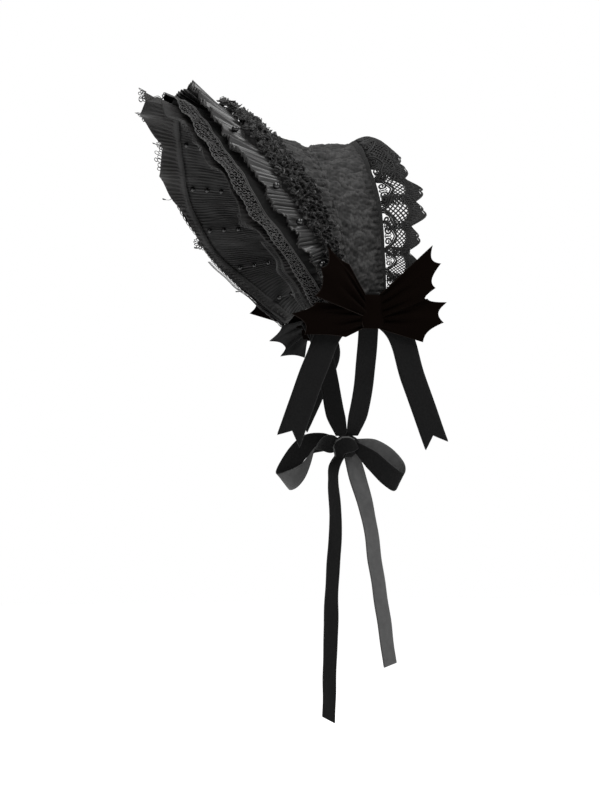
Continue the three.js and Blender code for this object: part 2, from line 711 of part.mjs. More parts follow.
// at is a point of the ribbon's middle from the knot's centre, and across the direction of its width, which
// is a share narrower where the knot holds it.
const TIE_PIECES = [
  {
    name: "tie_loop_front",
    columns: 17,
    rows: [
      { at: [-9, -5, 2], across: [0, 0, -1], share: 0.5 },
      { at: [-27, -9, 4], across: [0, -0.1, -1], share: 0.9 },
      { at: [-44, -10, 1], across: [0.3, 0, -0.95], share: 1 },
      { at: [-58, -8, -13], across: [0.58, 0, -0.81], share: 1 },
      { at: [-71, -1, -39], across: [0.66, 0, -0.75], share: 1 },
      { at: [-60, 9, -37], across: [0.4, 0.3, -0.86], share: 1 },
      { at: [-49.5, 12, -29], across: [0.2, 0.66, -0.72], share: 1 },
      { at: [-42, 12, -17], across: [0.1, 0.9, -0.43], share: 1 },
      { at: [-35, 11, -3], across: [0.05, 1, 0.1], share: 1 },
      { at: [-27, 10, 2], across: [0.1, 0.75, 0.66], share: 1 },
      { at: [-17, 8, 1.5], across: [0.1, 0.3, 0.95], share: 0.9 },
      { at: [-8, 4, 1], across: [0, 0, 1], share: 0.5 },
    ],
  },
  {
    name: "tie_loop_rear",
    columns: 15,
    rows: [
      { at: [9, 5, -1], across: [0.2, 0, 1], share: 0.5 },
      { at: [28, 10, -17], across: [0.55, 0, 0.83], share: 0.9 },
      { at: [45, 9, -33], across: [0.55, 0, 0.83], share: 1 },
      { at: [57, 1, -40], across: [0.5, 0, 0.86], share: 1 },
      { at: [60, -8, -31], across: [0.35, 0, 0.93], share: 1 },
      { at: [48, -12, -15], across: [0.3, 0, 0.95], share: 1 },
      { at: [30, -10, -3], across: [0.2, 0, 1], share: 0.9 },
      { at: [9, -4, 2], across: [0.2, 0, 1], share: 0.5 },
    ],
  },
  {
    name: "tie_tail_front",
    columns: 12,
    rows: [
      { at: [-4, 5, -6], across: [1, 0.1, 0], share: 0.5 },
      { at: [-14, 12, -23], across: [0.6, 0.8, 0], share: 0.9 },
      { at: [-15.5, 13, -39], across: [0.46, 0.89, 0], share: 1 },
      { at: [-12.5, 14, -84], across: [0.6, 0.8, 0], share: 1 },
      { at: [-15.5, 14, -129], across: [0.64, 0.77, 0], share: 1 },
      { at: [-18, 12, -196], across: [0.65, 0.76, 0], share: 1 },
      { at: [-20.5, 10, -299], across: [0.62, 0.75, -0.25], share: 1 },
    ],
  },
  {
    name: "tie_tail_rear",
    columns: 12,
    rows: [
      { at: [4, -3, -6], across: [1, -0.1, 0], share: 0.5 },
      { at: [12.5, -5, -37], across: [0.85, -0.5, 0.1], share: 1 },
      { at: [25, -6, -84], across: [0.68, -0.73, 0.1], share: 1 },
      { at: [31, -7, -129], across: [0.68, -0.73, 0.1], share: 1 },
      { at: [38, -8, -174], across: [0.68, -0.73, 0.1], share: 1 },
      { at: [47.5, -9, -241], across: [0.52, -0.85, 0.25], share: 1 },
    ],
  },
];

for (const { name, rows, columns } of TIE_PIECES) {
  const path = rows.map((row) => inTieBow(row.at).add(TIE_KNOT));
  const across = rows.map((row) => inTieBow(row.across).setLength(TIE_WIDTH * row.share));
  add(name, "ribbon", cut(ribbon(path, across, columns), tieKnot(GAP)));
}

export default bonnet;
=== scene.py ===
import bpy
import numpy as np
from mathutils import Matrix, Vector
from mathutils.kdtree import KDTree


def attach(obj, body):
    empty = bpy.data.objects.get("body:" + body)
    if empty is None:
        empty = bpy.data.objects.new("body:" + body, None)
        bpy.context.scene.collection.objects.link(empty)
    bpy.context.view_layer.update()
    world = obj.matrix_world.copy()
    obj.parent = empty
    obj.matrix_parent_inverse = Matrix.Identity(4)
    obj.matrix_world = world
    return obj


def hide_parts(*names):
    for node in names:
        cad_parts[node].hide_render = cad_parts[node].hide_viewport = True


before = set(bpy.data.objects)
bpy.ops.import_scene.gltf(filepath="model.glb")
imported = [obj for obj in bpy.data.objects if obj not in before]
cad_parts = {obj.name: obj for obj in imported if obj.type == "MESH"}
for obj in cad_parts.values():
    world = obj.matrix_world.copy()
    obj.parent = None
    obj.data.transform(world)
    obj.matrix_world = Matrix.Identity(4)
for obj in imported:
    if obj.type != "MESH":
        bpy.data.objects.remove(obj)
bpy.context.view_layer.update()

# The studio
# The bonnet hangs in front of plain white, lit softly from all round. Three soft lamps stand above it: one on
# the camera's side, one to the camera's right and one over the top.
WHITE = (1, 1, 1, 1)
BACKDROP_STRENGTH = 1.0
ROOM_STRENGTH = 0.36
FLOOR_PAINT = (0.95, 0.95, 0.95, 1)
FLOOR_GLOW = 0.67
FLOOR_HEIGHT = -0.75
CAMERA_PLACE = (2.239, -0.8559, -0.4006)
CAMERA_LOOKS_AT = (-0.01317, -0.03618, -0.275)
CAMERA_LENS = 98.2
studio = bpy.context.scene
studio.view_settings.view_transform = "Standard"

surround = bpy.data.worlds.new("surround")
surround.use_nodes = True
surround_nodes = surround.node_tree.nodes
surround_links = surround.node_tree.links
backdrop_light = surround_nodes["Background"]
backdrop_light.inputs["Color"].default_value = WHITE
backdrop_light.inputs["Strength"].default_value = BACKDROP_STRENGTH
room_light = surround_nodes.new("ShaderNodeBackground")
room_light.inputs["Color"].default_value = WHITE
room_light.inputs["Strength"].default_value = ROOM_STRENGTH
seen_directly = surround_nodes.new("ShaderNodeLightPath")
either_light = surround_nodes.new("ShaderNodeMixShader")
surround_links.new(seen_directly.outputs["Is Camera Ray"], either_light.inputs[0])
surround_links.new(room_light.outputs[0], either_light.inputs[1])
surround_links.new(backdrop_light.outputs[0], either_light.inputs[2])
surround_links.new(either_light.outputs[0], surround_nodes["World Output"].inputs["Surface"])
studio.world = surround

bpy.ops.mesh.primitive_plane_add(size=12, location=(0, 0, FLOOR_HEIGHT))
floor = bpy.context.object
floor.name = "floor"
floor_paint = bpy.data.materials.new("floor_paint")
floor_paint.use_nodes = True
floor_shader = floor_paint.node_tree.nodes["Principled BSDF"]
floor_shader.inputs["Base Color"].default_value = FLOOR_PAINT
floor_shader.inputs["Roughness"].default_value = 0.9
floor_shader.inputs["Emission Color"].default_value = WHITE
floor_shader.inputs["Emission Strength"].default_value = FLOOR_GLOW
floor.data.materials.append(floor_paint)
bpy.ops.object.transform_apply(location=True)

BONNET_MIDDLE = Vector((0, -0.04, -0.2))
for name, place, size, power in (
    ("lamp_over_camera", (1.25, -0.62, 1.15), 0.8, 27),
    ("lamp_right", (0.75, 1.15, 1.05), 0.8, 22),
    ("lamp_top", (-0.2, -0.5, 1.7), 1.2, 18),
):
    bpy.ops.object.light_add(type="AREA", location=place)
    lamp = bpy.context.object
    lamp.name = name
    lamp.data.size = size
    lamp.data.energy = power
    lamp.rotation_euler = (BONNET_MIDDLE - Vector(place)).to_track_quat("-Z", "Y").to_euler()

bpy.ops.object.camera_add(location=CAMERA_PLACE)
camera = bpy.context.object
camera.data.lens = CAMERA_LENS
camera.data.clip_end = 50
camera.rotation_euler = (Vector(CAMERA_LOOKS_AT) - camera.location).to_track_quat("-Z", "Y").to_euler()
studio.camera = camera
bpy.ops.object.select_all(action="DESELECT")

# The crown
# A band of black matelasse cloth from the waist seam to the nape. Its scrolls and leaves stand up from a dull
# ground, it is creased where it is eased to the brim, and short puckers run in from its back edge.
# Cuts through the bonnet from the left ear to the top, in mm: where its seam, rim, back edge and ruffle lie.
SECTIONS = [
    {"seam": (74, -11, -168), "rim": (62, -36, -186), "nape": (76, 26, -168), "lace": (80, 58, -172)},
    {"seam": (76, -15, -142), "rim": (84, -67, -153), "nape": (78, 25, -142), "lace": (88, 57, -146)},
    {"seam": (77, -20, -116), "rim": (104, -104, -115), "nape": (79, 23, -116), "lace": (92, 57, -118)},
    {"seam": (76, -27, -90), "rim": (100, -128, -84), "nape": (78, 21, -90), "lace": (92, 61, -90)},
    {"seam": (71, -33, -62), "rim": (95, -146, -50), "nape": (72, 19, -62), "lace": (86, 63, -62)},
    {"seam": (58, -38, -35), "rim": (70, -161, -17), "nape": (58, 17, -35), "lace": (70, 54, -33)},
    {"seam": (33, -41, -9), "rim": (38, -176, 23), "nape": (33, 16, -8), "lace": (41, 56, -13)},
    {"seam": (0, -41, 1), "rim": (0, -185, 45), "nape": (0, 16, 8), "lace": (0, 60, -4)},
]


def horseshoe(edge):
    """The smooth line of one edge from the left ear over the head to the right, and the way run along it."""
    left = np.array([section[edge] for section in SECTIONS]) / 1000
    knots = np.vstack([left, left[-2::-1] * (-1, 1, 1)])
    knots = np.vstack([2 * knots[0] - knots[1], knots, 2 * knots[-1] - knots[-2]])
    t = np.linspace(0, 1, 60, endpoint=False)[:, None]
    pieces = []
    for before, start, end, after in zip(knots, knots[1:], knots[2:], knots[3:]):
        leave = (end - before) / 2
        arrive = (after - start) / 2
        bend = 3 * (end - start) - 2 * leave - arrive
        pieces.append(start + leave * t + bend * t**2 + (leave + arrive - 2 * (end - start)) * t**3)
    points = np.vstack([*pieces, knots[-2:-1]])
    run = np.append(0, np.cumsum(np.linalg.norm(np.diff(points, axis=0), axis=1)))
    return points, run


def on_line(line, u):
    """Places on a line at u, from its start at 0 to its end at 1."""
    points, run = line
    return np.stack([np.interp(u * run[-1], run, points[:, axis]) for axis in range(3)], axis=-1)


def between(start, end, u, v, lift):
    """Places at u along and v across from one line to another, raised by lift from the surface."""
    u, v, lift = np.broadcast_arrays(np.clip(u, 0, 1), v, lift)
    step = 0.002  # how far to each side of u the slope of the surface is taken
    v_here = np.minimum(v, 1)[..., None]

    def across(at_u):
        first = on_line(start, at_u)
        return first + (on_line(end, at_u) - first) * v_here

    along = across(np.minimum(u + step, 1)) - across(np.maximum(u - step, 0))
    first = on_line(start, u)
    over = on_line(end, u) - first
    outward = np.cross(along, over)
    outward /= np.linalg.norm(outward, axis=-1, keepdims=True)
    return first + over * v[..., None] + outward * lift[..., None]


CRUMPLE_WAVES = 7


def crumple(x, y, length, seed):
    """Uneven bumps between about -1 and 1, about length apart: waves that run in random directions."""
    draw = np.random.default_rng(seed)
    total = 0
    for _ in range(CRUMPLE_WAVES):
        angle = draw.uniform(0, 2 * np.pi)
        turn = 2 * np.pi / (length * draw.uniform(0.7, 1.6))
        total = total + np.sin(turn * (x * np.cos(angle) + y * np.sin(angle)) + draw.uniform(0, 6))
    return total / (CRUMPLE_WAVES / 2)


def fade(x, start, end):
    """0 at start and 1 at end, smoothly."""
    t = np.clip((x - start) / (end - start), 0, 1)
    return t * t * (3 - 2 * t)


def finish_mesh(name, mesh, materials):
    piece = bpy.data.objects.new(name, mesh)
    bpy.context.collection.objects.link(piece)
    for material in materials:
        mesh.materials.append(material)
    bpy.ops.object.select_all(action="DESELECT")
    bpy.context.view_layer.objects.active = piece
    piece.select_set(True)
    bpy.ops.object.shade_smooth()
    return piece


def cloth(name, places, flat, thickness, materials, figure=None):
    """A sheet over a grid of places. flat is each place in the flat cloth, for patterns, and figure is how
    light the cloth is there."""
    columns, rows = places.shape[:2]
    index = np.arange(columns * rows).reshape(columns, rows)
    faces = np.stack([index[:-1, :-1], index[1:, :-1], index[1:, 1:], index[:-1, 1:]], axis=-1)
    faces = faces.reshape(-1, 4)
    mesh = bpy.data.meshes.new(name)
    mesh.from_pydata(places.reshape(-1, 3).tolist(), [], faces.tolist())
    layer = mesh.uv_layers.new(name="cloth")
    layer.data.foreach_set("uv", flat.reshape(-1, 2)[faces.ravel()].ravel())
    if figure is not None:
        woven = mesh.attributes.new("figure", "FLOAT", "POINT")
        woven.data.foreach_set("value", figure.ravel())
    piece = finish_mesh(name, mesh, materials)
    wall = piece.modifiers.new("thickness", "SOLIDIFY")
    wall.thickness = thickness
    wall.offset = 0
    wall.material_offset = len(materials) - 1
    wall.material_offset_rim = 0
    bpy.ops.object.modifier_apply(modifier=wall.name)
    return piece


def shader(name, color, roughness, specular, sheen=0.0, sheen_color=(1, 1, 1), sheen_roughness=0.5):
    material = bpy.data.materials.new(name)
    material.use_nodes = True
    surface = material.node_tree.nodes["Principled BSDF"]
    surface.inputs["Base Color"].default_value = (*color, 1)
    surface.inputs["Roughness"].default_value = roughness
    surface.inputs["Specular IOR Level"].default_value = specular
    surface.inputs["Sheen Weight"].default_value = sheen
    surface.inputs["Sheen Tint"].default_value = (*sheen_color, 1)
    surface.inputs["Sheen Roughness"].default_value = sheen_roughness
    return material


def worked_out(tree, operation, *values):
    """The result of one sum in a shader's tree, as a socket. Each value is a socket or a number."""
    node = tree.nodes.new("ShaderNodeMath")
    node.operation = operation
    for k, value in enumerate(values):
        if isinstance(value, float):
            node.inputs[k].default_value = value
        else:
            tree.links.new(value, node.inputs[k])
    return node.outputs[0]


# Threads crossing over and under, as heights from 0 to 1. Threads is how many there are in a metre.
weave = bpy.data.node_groups.new("weave", "ShaderNodeTree")
weave.interface.new_socket("Flat Place", in_out="INPUT", socket_type="NodeSocketVector")
weave.interface.new_socket("Threads", in_out="INPUT", socket_type="NodeSocketFloat")
weave.interface.new_socket("Height", in_out="OUTPUT", socket_type="NodeSocketFloat")
weave_in = weave.nodes.new("NodeGroupInput")
weave_out = weave.nodes.new("NodeGroupOutput")
weave_split = weave.nodes.new("ShaderNodeSeparateXYZ")
weave.links.new(weave_in.outputs["Flat Place"], weave_split.inputs[0])
thread_turns = worked_out(weave, "MULTIPLY", weave_in.outputs["Threads"], np.pi)
thread_waves = [
    worked_out(weave, "SINE", worked_out(weave, "MULTIPLY", weave_split.outputs[axis], thread_turns))
    for axis in ("X", "Y")
]
crossing = worked_out(weave, "MULTIPLY", *thread_waves)
weave.links.new(worked_out(weave, "MULTIPLY_ADD", crossing, 0.5, 0.5), weave_out.inputs["Height"])


def add_weave(material, threads, depth, strength=0.6):
    """Lays a weave on a material's cloth map."""
    nodes = material.node_tree.nodes
    links = material.node_tree.links
    cloth_map = nodes.new("ShaderNodeUVMap")
    cloth_map.uv_map = "cloth"
    woven = nodes.new("ShaderNodeGroup")
    woven.node_tree = weave
    woven.inputs["Threads"].default_value = threads
    links.new(cloth_map.outputs["UV"], woven.inputs["Flat Place"])
    bump = nodes.new("ShaderNodeBump")
    bump.inputs["Strength"].default_value = strength
    bump.inputs["Distance"].default_value = depth
    links.new(woven.outputs["Height"], bump.inputs["Height"])
    links.new(bump.outputs["Normal"], nodes["Principled BSDF"].inputs["Normal"])


def mix_color(material, factor, low, high):
    """Sets a material's colour between low and high by factor, a socket."""
    nodes = material.node_tree.nodes
    ramp = nodes.new("ShaderNodeMix")
    ramp.data_type = "RGBA"
    ramp.inputs[6].default_value = (*low, 1)
    ramp.inputs[7].default_value = (*high, 1)
    material.node_tree.links.new(factor, ramp.inputs[0])
    material.node_tree.links.new(ramp.outputs[2], nodes["Principled BSDF"].inputs["Base Color"])


def spread(tree, value, start, end, low, high):
    """A value, as a socket, spread from the range start to end over the range low to high."""
    node = tree.nodes.new("ShaderNodeMapRange")
    for name, number in (("From Min", start), ("From Max", end), ("To Min", low), ("To Max", high)):
        node.inputs[name].default_value = number
    tree.links.new(value, node.inputs["Value"])
    return node.outputs["Result"]


def cloudy(material, scale, detail=3.0):
    """Uneven patches over a piece, as a socket."""
    nodes = material.node_tree.nodes
    place = nodes.new("ShaderNodeTexCoord")
    clouds = nodes.new("ShaderNodeTexNoise")
    clouds.inputs["Scale"].default_value = scale
    clouds.inputs["Detail"].default_value = detail
    material.node_tree.links.new(place.outputs["Object"], clouds.inputs["Vector"])
    return clouds.outputs["Fac"]


seam_line = horseshoe("seam")
rim_line = horseshoe("rim")
nape_line = horseshoe("nape")
lace_line = horseshoe("lace")

# The woven figure, in a repeat of the flat cloth: leaves and petals as strokes of (x, y, half width).
FIGURE_REPEAT = (0.046, 0.038)
FIGURE_CELLS = (230, 190)
FIGURE_EDGE = 0.0007
FIGURE_VEIN = 0.0006


def leaf_stroke(x, y, length, angle, bend, width):
    """A leaf that starts at x, y and curves by bend on its way to its tip."""
    t = np.linspace(0, 1, 40)
    way = angle + bend * t
    px = x + length * np.append(0, np.cumsum(np.cos(way[1:]))) / len(t)
    py = y + length * np.append(0, np.cumsum(np.sin(way[1:]))) / len(t)
    return np.stack([px, py, width * np.sin(np.pi * np.clip(t, 0.04, 0.96)) ** 0.7], axis=-1)


def half_figure(x, y, hand):
    """A flower at x, y with leaves round it. hand turns the leaves one way or the other."""
    strokes = [
        leaf_stroke(x + 0.004 * hand, y + 0.005, 0.019, 0.5, 1.5 * hand, 0.0030),
        leaf_stroke(x - 0.006 * hand, y - 0.004, 0.018, 3.6, 1.4 * hand, 0.0028),
        leaf_stroke(x + 0.006 * hand, y - 0.006, 0.016, -0.9, -1.2 * hand, 0.0024),
        leaf_stroke(x - 0.005 * hand, y + 0.007, 0.014, 2.1, -1.3 * hand, 0.0022),
        leaf_stroke(x + 0.016 * hand, y + 0.004, 0.010, 0.2, -1.1 * hand, 0.0018),
        leaf_stroke(x - 0.015 * hand, y - 0.011, 0.009, 2.7, 1.0 * hand, 0.0016),
        leaf_stroke(x + 0.013 * hand, y - 0.012, 0.008, -1.8, 0.9 * hand, 0.0015),
    ]
    for petal in range(6):
        strokes.append(leaf_stroke(x, y, 0.0062, petal * np.pi / 3 + 0.3, 0.5 * hand, 0.0016))
    return strokes


figure_strokes = np.vstack(half_figure(0.012, 0.010, 1) + half_figure(0.035, 0.029, -1))
figure_tree = KDTree(len(figure_strokes) * 9)
figure_widths = []
for over in (-1, 0, 1):
    for up in (-1, 0, 1):
        for x, y, width in figure_strokes:
            place = (x + over * FIGURE_REPEAT[0], y + up * FIGURE_REPEAT[1], 0)
            figure_tree.insert(place, len(figure_widths))
            figure_widths.append(width)
figure_tree.balance()
figure_chart = np.zeros(FIGURE_CELLS)
for i in range(FIGURE_CELLS[0]):
    for j in range(FIGURE_CELLS[1]):
        x = (i + 0.5) / FIGURE_CELLS[0] * FIGURE_REPEAT[0]
        y = (j + 0.5) / FIGURE_CELLS[1] * FIGURE_REPEAT[1]
        _, nearest, distance = figure_tree.find((x, y, 0))
        inside = np.clip((figure_widths[nearest] - distance) / FIGURE_EDGE + 0.5, 0, 1)
        vein = np.clip(distance / FIGURE_VEIN + 0.25, 0, 1)
        figure_chart[i, j] = inside * vein


def figure_at(x, y):
    """How far the woven figure covers a place of the flat cloth, from 0 to 1."""
    i = x / FIGURE_REPEAT[0] * FIGURE_CELLS[0] - 0.5
    j = y / FIGURE_REPEAT[1] * FIGURE_CELLS[1] - 0.5
    i0 = np.floor(i).astype(int)
    j0 = np.floor(j).astype(int)
    total = 0
    for di in (0, 1):
        for dj in (0, 1):
            share = np.abs(1 - di - (i - i0)) * np.abs(1 - dj - (j - j0))
            total = total + share * figure_chart[(i0 + di) % FIGURE_CELLS[0], (j0 + dj) % FIGURE_CELLS[1]]
    return total


SHADE = {"ground": 0.27, "figure": 0.42, "threads": 0.22, "patches": 0.12}


def shade_of_cloth(figure, x, y):
    """How light the cloth is: the figure is a little lighter than its ground, and both are uneven."""
    uneven = SHADE["threads"] * crumple(x, y, 0.0035, 4) + SHADE["patches"] * crumple(x, y, 0.012, 6)
    return SHADE["ground"] + SHADE["figure"] * figure + uneven


brocade = shader("brocade", (0.02, 0.02, 0.02), 0.6, 0.3, sheen=0.04, sheen_roughness=0.4)
brocade_tree = brocade.node_tree
brocade_figure = brocade_tree.nodes.new("ShaderNodeAttribute")
brocade_figure.attribute_name = "figure"
add_weave(brocade, 1100, 0.0004, 0.8)
brocade_grain = spread(brocade_tree, cloudy(brocade, 750, 4), 0.3, 0.7, 0.45, 1.6)
brocade_shade = worked_out(brocade_tree, "MULTIPLY", brocade_figure.outputs["Fac"], brocade_grain)
mix_color(brocade, brocade_shade, (0.0035, 0.0034, 0.0033), (0.0275, 0.0268, 0.0263))
brocade_roughness = spread(brocade_tree, brocade_figure.outputs["Fac"], 0, 1, 0.9, 0.5)
brocade_tree.links.new(brocade_roughness, brocade_tree.nodes["Principled BSDF"].inputs["Roughness"])

CROWN_WIDTH = 0.050
CROWN_WALL = 0.0012
CROWN_RELIEF = {"figure": 0.0014, "dents": 0.0013, "grain": 0.0007, "eased": 0.0011, "puckers": 0.0012}
PUCKERS = 62
SEAM_SINK = {"depth": 0.0012, "width": 0.0015}
crown_length = (seam_line[1][-1] + nape_line[1][-1]) / 2
u = np.linspace(0, 1, 350)[:, None]
v = np.append(-0.05, np.linspace(0, 1, 44))[None, :]
flat = np.stack(np.broadcast_arrays(u * crown_length, v * CROWN_WIDTH), axis=-1)
x, y = flat[..., 0], flat[..., 1]
figure = figure_at(x, y)
low_side = fade(np.abs(u - 0.5), 0.12, 0.3)
eased = crumple(x, 0.15 * y, 0.011, 3) * (1 - fade(v, 0.05, 0.5))
puckers = np.sin(2 * np.pi * u * PUCKERS + crumple(x, y, 0.04, 5)) * fade(v, 0.62, 0.86) * low_side
height = (
    CROWN_RELIEF["figure"] * figure
    + CROWN_RELIEF["dents"] * crumple(x, y, 0.028, 1)
    + CROWN_RELIEF["grain"] * crumple(x, 0.6 * y, 0.006, 2)
    + CROWN_RELIEF["eased"] * eased
    + CROWN_RELIEF["puckers"] * puckers
)
height -= SEAM_SINK["depth"] * np.exp(-((np.maximum(v, 0) * CROWN_WIDTH) / SEAM_SINK["width"]) ** 2)
shade = shade_of_cloth(figure, x, y)
crown_places = between(seam_line, nape_line, u, v, -height)
crown = cloth("crown_cloth", crown_places, flat, CROWN_WALL, [brocade], shade)
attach(crown, "root")
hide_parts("crown")

# The brim
# Stiffened cloth flared from the waist seam to the rim. By the seam it is covered with the crown's cloth,
# laid in folds that fan out from the seam, and further out with plain dark cloth.
BRIM_WALL = 0.0016
BRIM_RELIEF = {"folds": 0.0015, "figure": 0.0012, "grain": 0.0005, "dents": 0.0007}
BRIM_COVERED = (0.038, 0.044)
PLAIN_SHADE = 0.12
SEAM_GAP = 0.0005


def brim_width(u):
    return np.linalg.norm(on_line(rim_line, u) - on_line(seam_line, u), axis=-1)


def on_brim(u, v, lift):
    return between(seam_line, rim_line, u, v, lift)


def past_rim(u, distance, lift):
    """Places at a distance past the rim, or inside it where that is below 0."""
    u, distance, lift = np.broadcast_arrays(u, distance, lift)
    return on_brim(u, 1 + distance / brim_width(u), lift)


brim_length = rim_line[1][-1]
u = np.linspace(0, 1, 420)[:, None]
v = np.linspace(0, 1, 46)[None, :] ** 1.4
x = u * brim_length * 0.8
y = v * brim_width(u)
flat = np.stack(np.broadcast_arrays(x, y), axis=-1)
x, y = flat[..., 0], flat[..., 1]
covered = 1 - fade(y, *BRIM_COVERED)
figure = figure_at(x, y) * covered
folds = crumple(x, 0.12 * y, 0.009, 11) + 0.5 * crumple(x, 0.1 * y, 0.0045, 13)
height = (
    BRIM_RELIEF["folds"] * folds * (1 - 0.75 * fade(y, 0.03, 0.07))
    + BRIM_RELIEF["figure"] * figure
    + BRIM_RELIEF["grain"] * crumple(0.6 * x, y, 0.006, 14)
    + BRIM_RELIEF["dents"] * crumple(x, y, 0.03, 12)
)
height -= SEAM_SINK["depth"] * np.exp(-((y / SEAM_SINK["width"]) ** 2))
shade = shade_of_cloth(figure, x, y) * (PLAIN_SHADE + 1.06 * covered)
brim = cloth("brim_cloth", on_brim(u, v, height), flat, BRIM_WALL, [brocade], shade)
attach(brim, "root")
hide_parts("brim")

# The seam
# Brim and crown meet in a sunk seam with a row of stitches on each side of it.
STITCHES = 128
STITCH_RADIUS = 0.00032
STITCH_BOW = 0.00045
STITCHES_FROM_SEAM = 0.003
BRIM_NEAR_SEAM = 0.1
stitch_thread = shader("stitch_thread", (0.03, 0.03, 0.03), 0.6, 0.3, sheen=0.1)


def tube_faces(first, rings, sides, closed=False):
    """The faces round a tube whose corners are numbered from first, ring by ring, and those on its ends."""
    last = rings if closed else rings - 1
    here = first + np.arange(last)[:, None] * sides
    there = first + (np.arange(1, last + 1) % rings)[:, None] * sides
    k = np.arange(sides)[None, :]
    k_next = (k + 1) % sides
    faces = np.stack([here + k, here + k_next, there + k_next, there + k], axis=-1).reshape(-1, 4).tolist()
    if not closed:
        faces.append(list(range(first + sides - 1, first - 1, -1)))
        faces.append(list(range(first + (rings - 1) * sides, first + rings * sides)))
    return faces


def turn_outward():
    """Turns the faces of the piece in hand outward."""
    bpy.ops.object.mode_set(mode="EDIT")
    bpy.ops.mesh.select_all(action="SELECT")
    bpy.ops.mesh.normals_make_consistent(inside=False)
    bpy.ops.object.mode_set(mode="OBJECT")


def threads(name, strokes, place, materials, sides=5):
    """Round threads along flat strokes of (points, radius, closed). place sets a flat point, along, across
    and height, on the bonnet."""
    turns = np.arange(sides) * 2 * np.pi / sides
    ring_side = np.cos(turns)[None, :, None]
    ring_up = np.sin(turns)[None, :, None]
    corners = []
    faces = []
    count = 0
    for points, radius, closed in strokes:
        points = np.asarray(points, float)
        if points.shape[1] == 2:
            points = np.column_stack([points, np.zeros(len(points))])
        n = len(points)
        if closed:
            way = np.roll(points, -1, axis=0) - np.roll(points, 1, axis=0)
        else:
            way = np.gradient(points, axis=0)
        side = np.stack([-way[:, 1], way[:, 0], np.zeros(n)], axis=-1)
        side /= np.maximum(np.linalg.norm(side, axis=1, keepdims=True), 1e-9)
        up = np.zeros((n, 1, 3))
        up[..., 2] = 1
        thick = np.broadcast_to(radius, (n,))[:, None, None]
        corners.append((points[:, None] + thick * (ring_side * side[:, None] + ring_up * up)).reshape(-1, 3))
        faces.extend(tube_faces(count, n, sides, closed))
        count += n * sides
    corners = np.vstack(corners)
    mesh = bpy.data.meshes.new(name)
    mesh.from_pydata(place(corners[:, 0], corners[:, 1], corners[:, 2]).tolist(), [], faces)
    piece = finish_mesh(name, mesh, materials)
    turn_outward()
    return piece


seam_length = seam_line[1][-1]
stitches = []
for k in range(STITCHES):
    start = (k + 0.15) / STITCHES * seam_length
    end = (k + 0.8) / STITCHES * seam_length
    bow = np.linspace(0, 1, 5)
    stitch = np.stack([start + (end - start) * bow, 0 * bow, STITCH_BOW * np.sin(np.pi * bow)], axis=-1)
    stitches.append((stitch, STITCH_RADIUS, False))
crown_stitches = threads(
    "crown_stitches",
    stitches,
    lambda s, t, h: between(
        seam_line, nape_line, s / seam_length, (STITCHES_FROM_SEAM + t) / CROWN_WIDTH, -(0.0008 + h)
    ),
    [stitch_thread],
)
brim_stitches = threads(
    "brim_stitches",
    stitches,
    lambda s, t, h: on_brim(s / seam_length, (STITCHES_FROM_SEAM + t) / BRIM_NEAR_SEAM, 0.0012 + h),
    [stitch_thread],
)
for piece in (crown_stitches, brim_stitches):
    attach(piece, "root")

# The lining
# Thin black cloth in fine pressed pleats that fan out from the seam to the rim.
LINING_PLEATS = 170
LINING_LIFT = -0.0038
LINING_WALL = 0.0005
PLEAT_HEIGHT = 0.0012
# From the ears to the top: how far the edge lace reaches past the rim on the left and the right in mm, the
# share of the brim's width at which the trim is tacked down, and how far the trim's edge stands up in mm.
DEPTHS = [
    {"edge": (8, 6), "trim": 0.58, "stand": 7},
    {"edge": (8, 5), "trim": 0.6, "stand": 8},
    {"edge": (7, 4), "trim": 0.63, "stand": 9},
    {"edge": (12, 3), "trim": 0.66, "stand": 10},
    {"edge": (13, 10), "trim": 0.71, "stand": 11},
    {"edge": (13, 12), "trim": 0.77, "stand": 13},
    {"edge": (13, 13), "trim": 0.8, "stand": 18},
    {"edge": (13, 13), "trim": 0.82, "stand": 26},
]


def depth_at(u, name):
    """One column of the table at u, the edge lace's in metres."""
    place = (1 - np.abs(2 * u - 1)) * (len(DEPTHS) - 1)
    rows = np.arange(len(DEPTHS))
    if name in ("trim", "stand"):
        return np.interp(place, rows, [row[name] for row in DEPTHS])
    left = np.interp(place, rows, [row[name][0] for row in DEPTHS])
    right = np.interp(place, rows, [row[name][1] for row in DEPTHS])
    return np.where(u < 0.5, left, right) / 1000


def zigzag(turns):
    """Pressed folds: 1 and -1 in turn, straight between."""
    return 2 * np.abs(2 * (turns % 1) - 1) - 1


pleated = shader("pleated_cloth", (0.0135, 0.0133, 0.0132), 0.65, 0.3, sheen=0.03)
add_weave(pleated, 1600, 0.0002)
u = np.linspace(0, 1, LINING_PLEATS * 6 + 1)[:, None]
v = np.linspace(0, 1, 16)[None, :]
width = brim_width(u)
start = SEAM_GAP / width
across = start + (1 - 0.008 / width - start) * v
flat = np.stack(np.broadcast_arrays(u * brim_length, across * width), axis=-1)
x, y = flat[..., 0], flat[..., 1]
# Below the ears' height the pleats slant up towards the seam.
slant = np.sign(u - 0.5) * 0.11 * fade(np.abs(u - 0.5), 0.2, 0.42) * (1 - v)
swing = 0.5 * crumple(x, y, 0.05, 21)
uneven_pleat = 0.95 + 0.4 * crumple(x, 0.25 * y, 0.008, 23)
soft_fold = 0.0009 * crumple(x + 0.5 * slant, 0.25 * y, 0.03, 22)
height = PLEAT_HEIGHT * uneven_pleat * zigzag((u + slant) * LINING_PLEATS + swing) + soft_fold
lining = cloth("lining", on_brim(u, across, LINING_LIFT + height), flat, LINING_WALL, [pleated])
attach(lining, "root")
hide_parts("brim_lining")

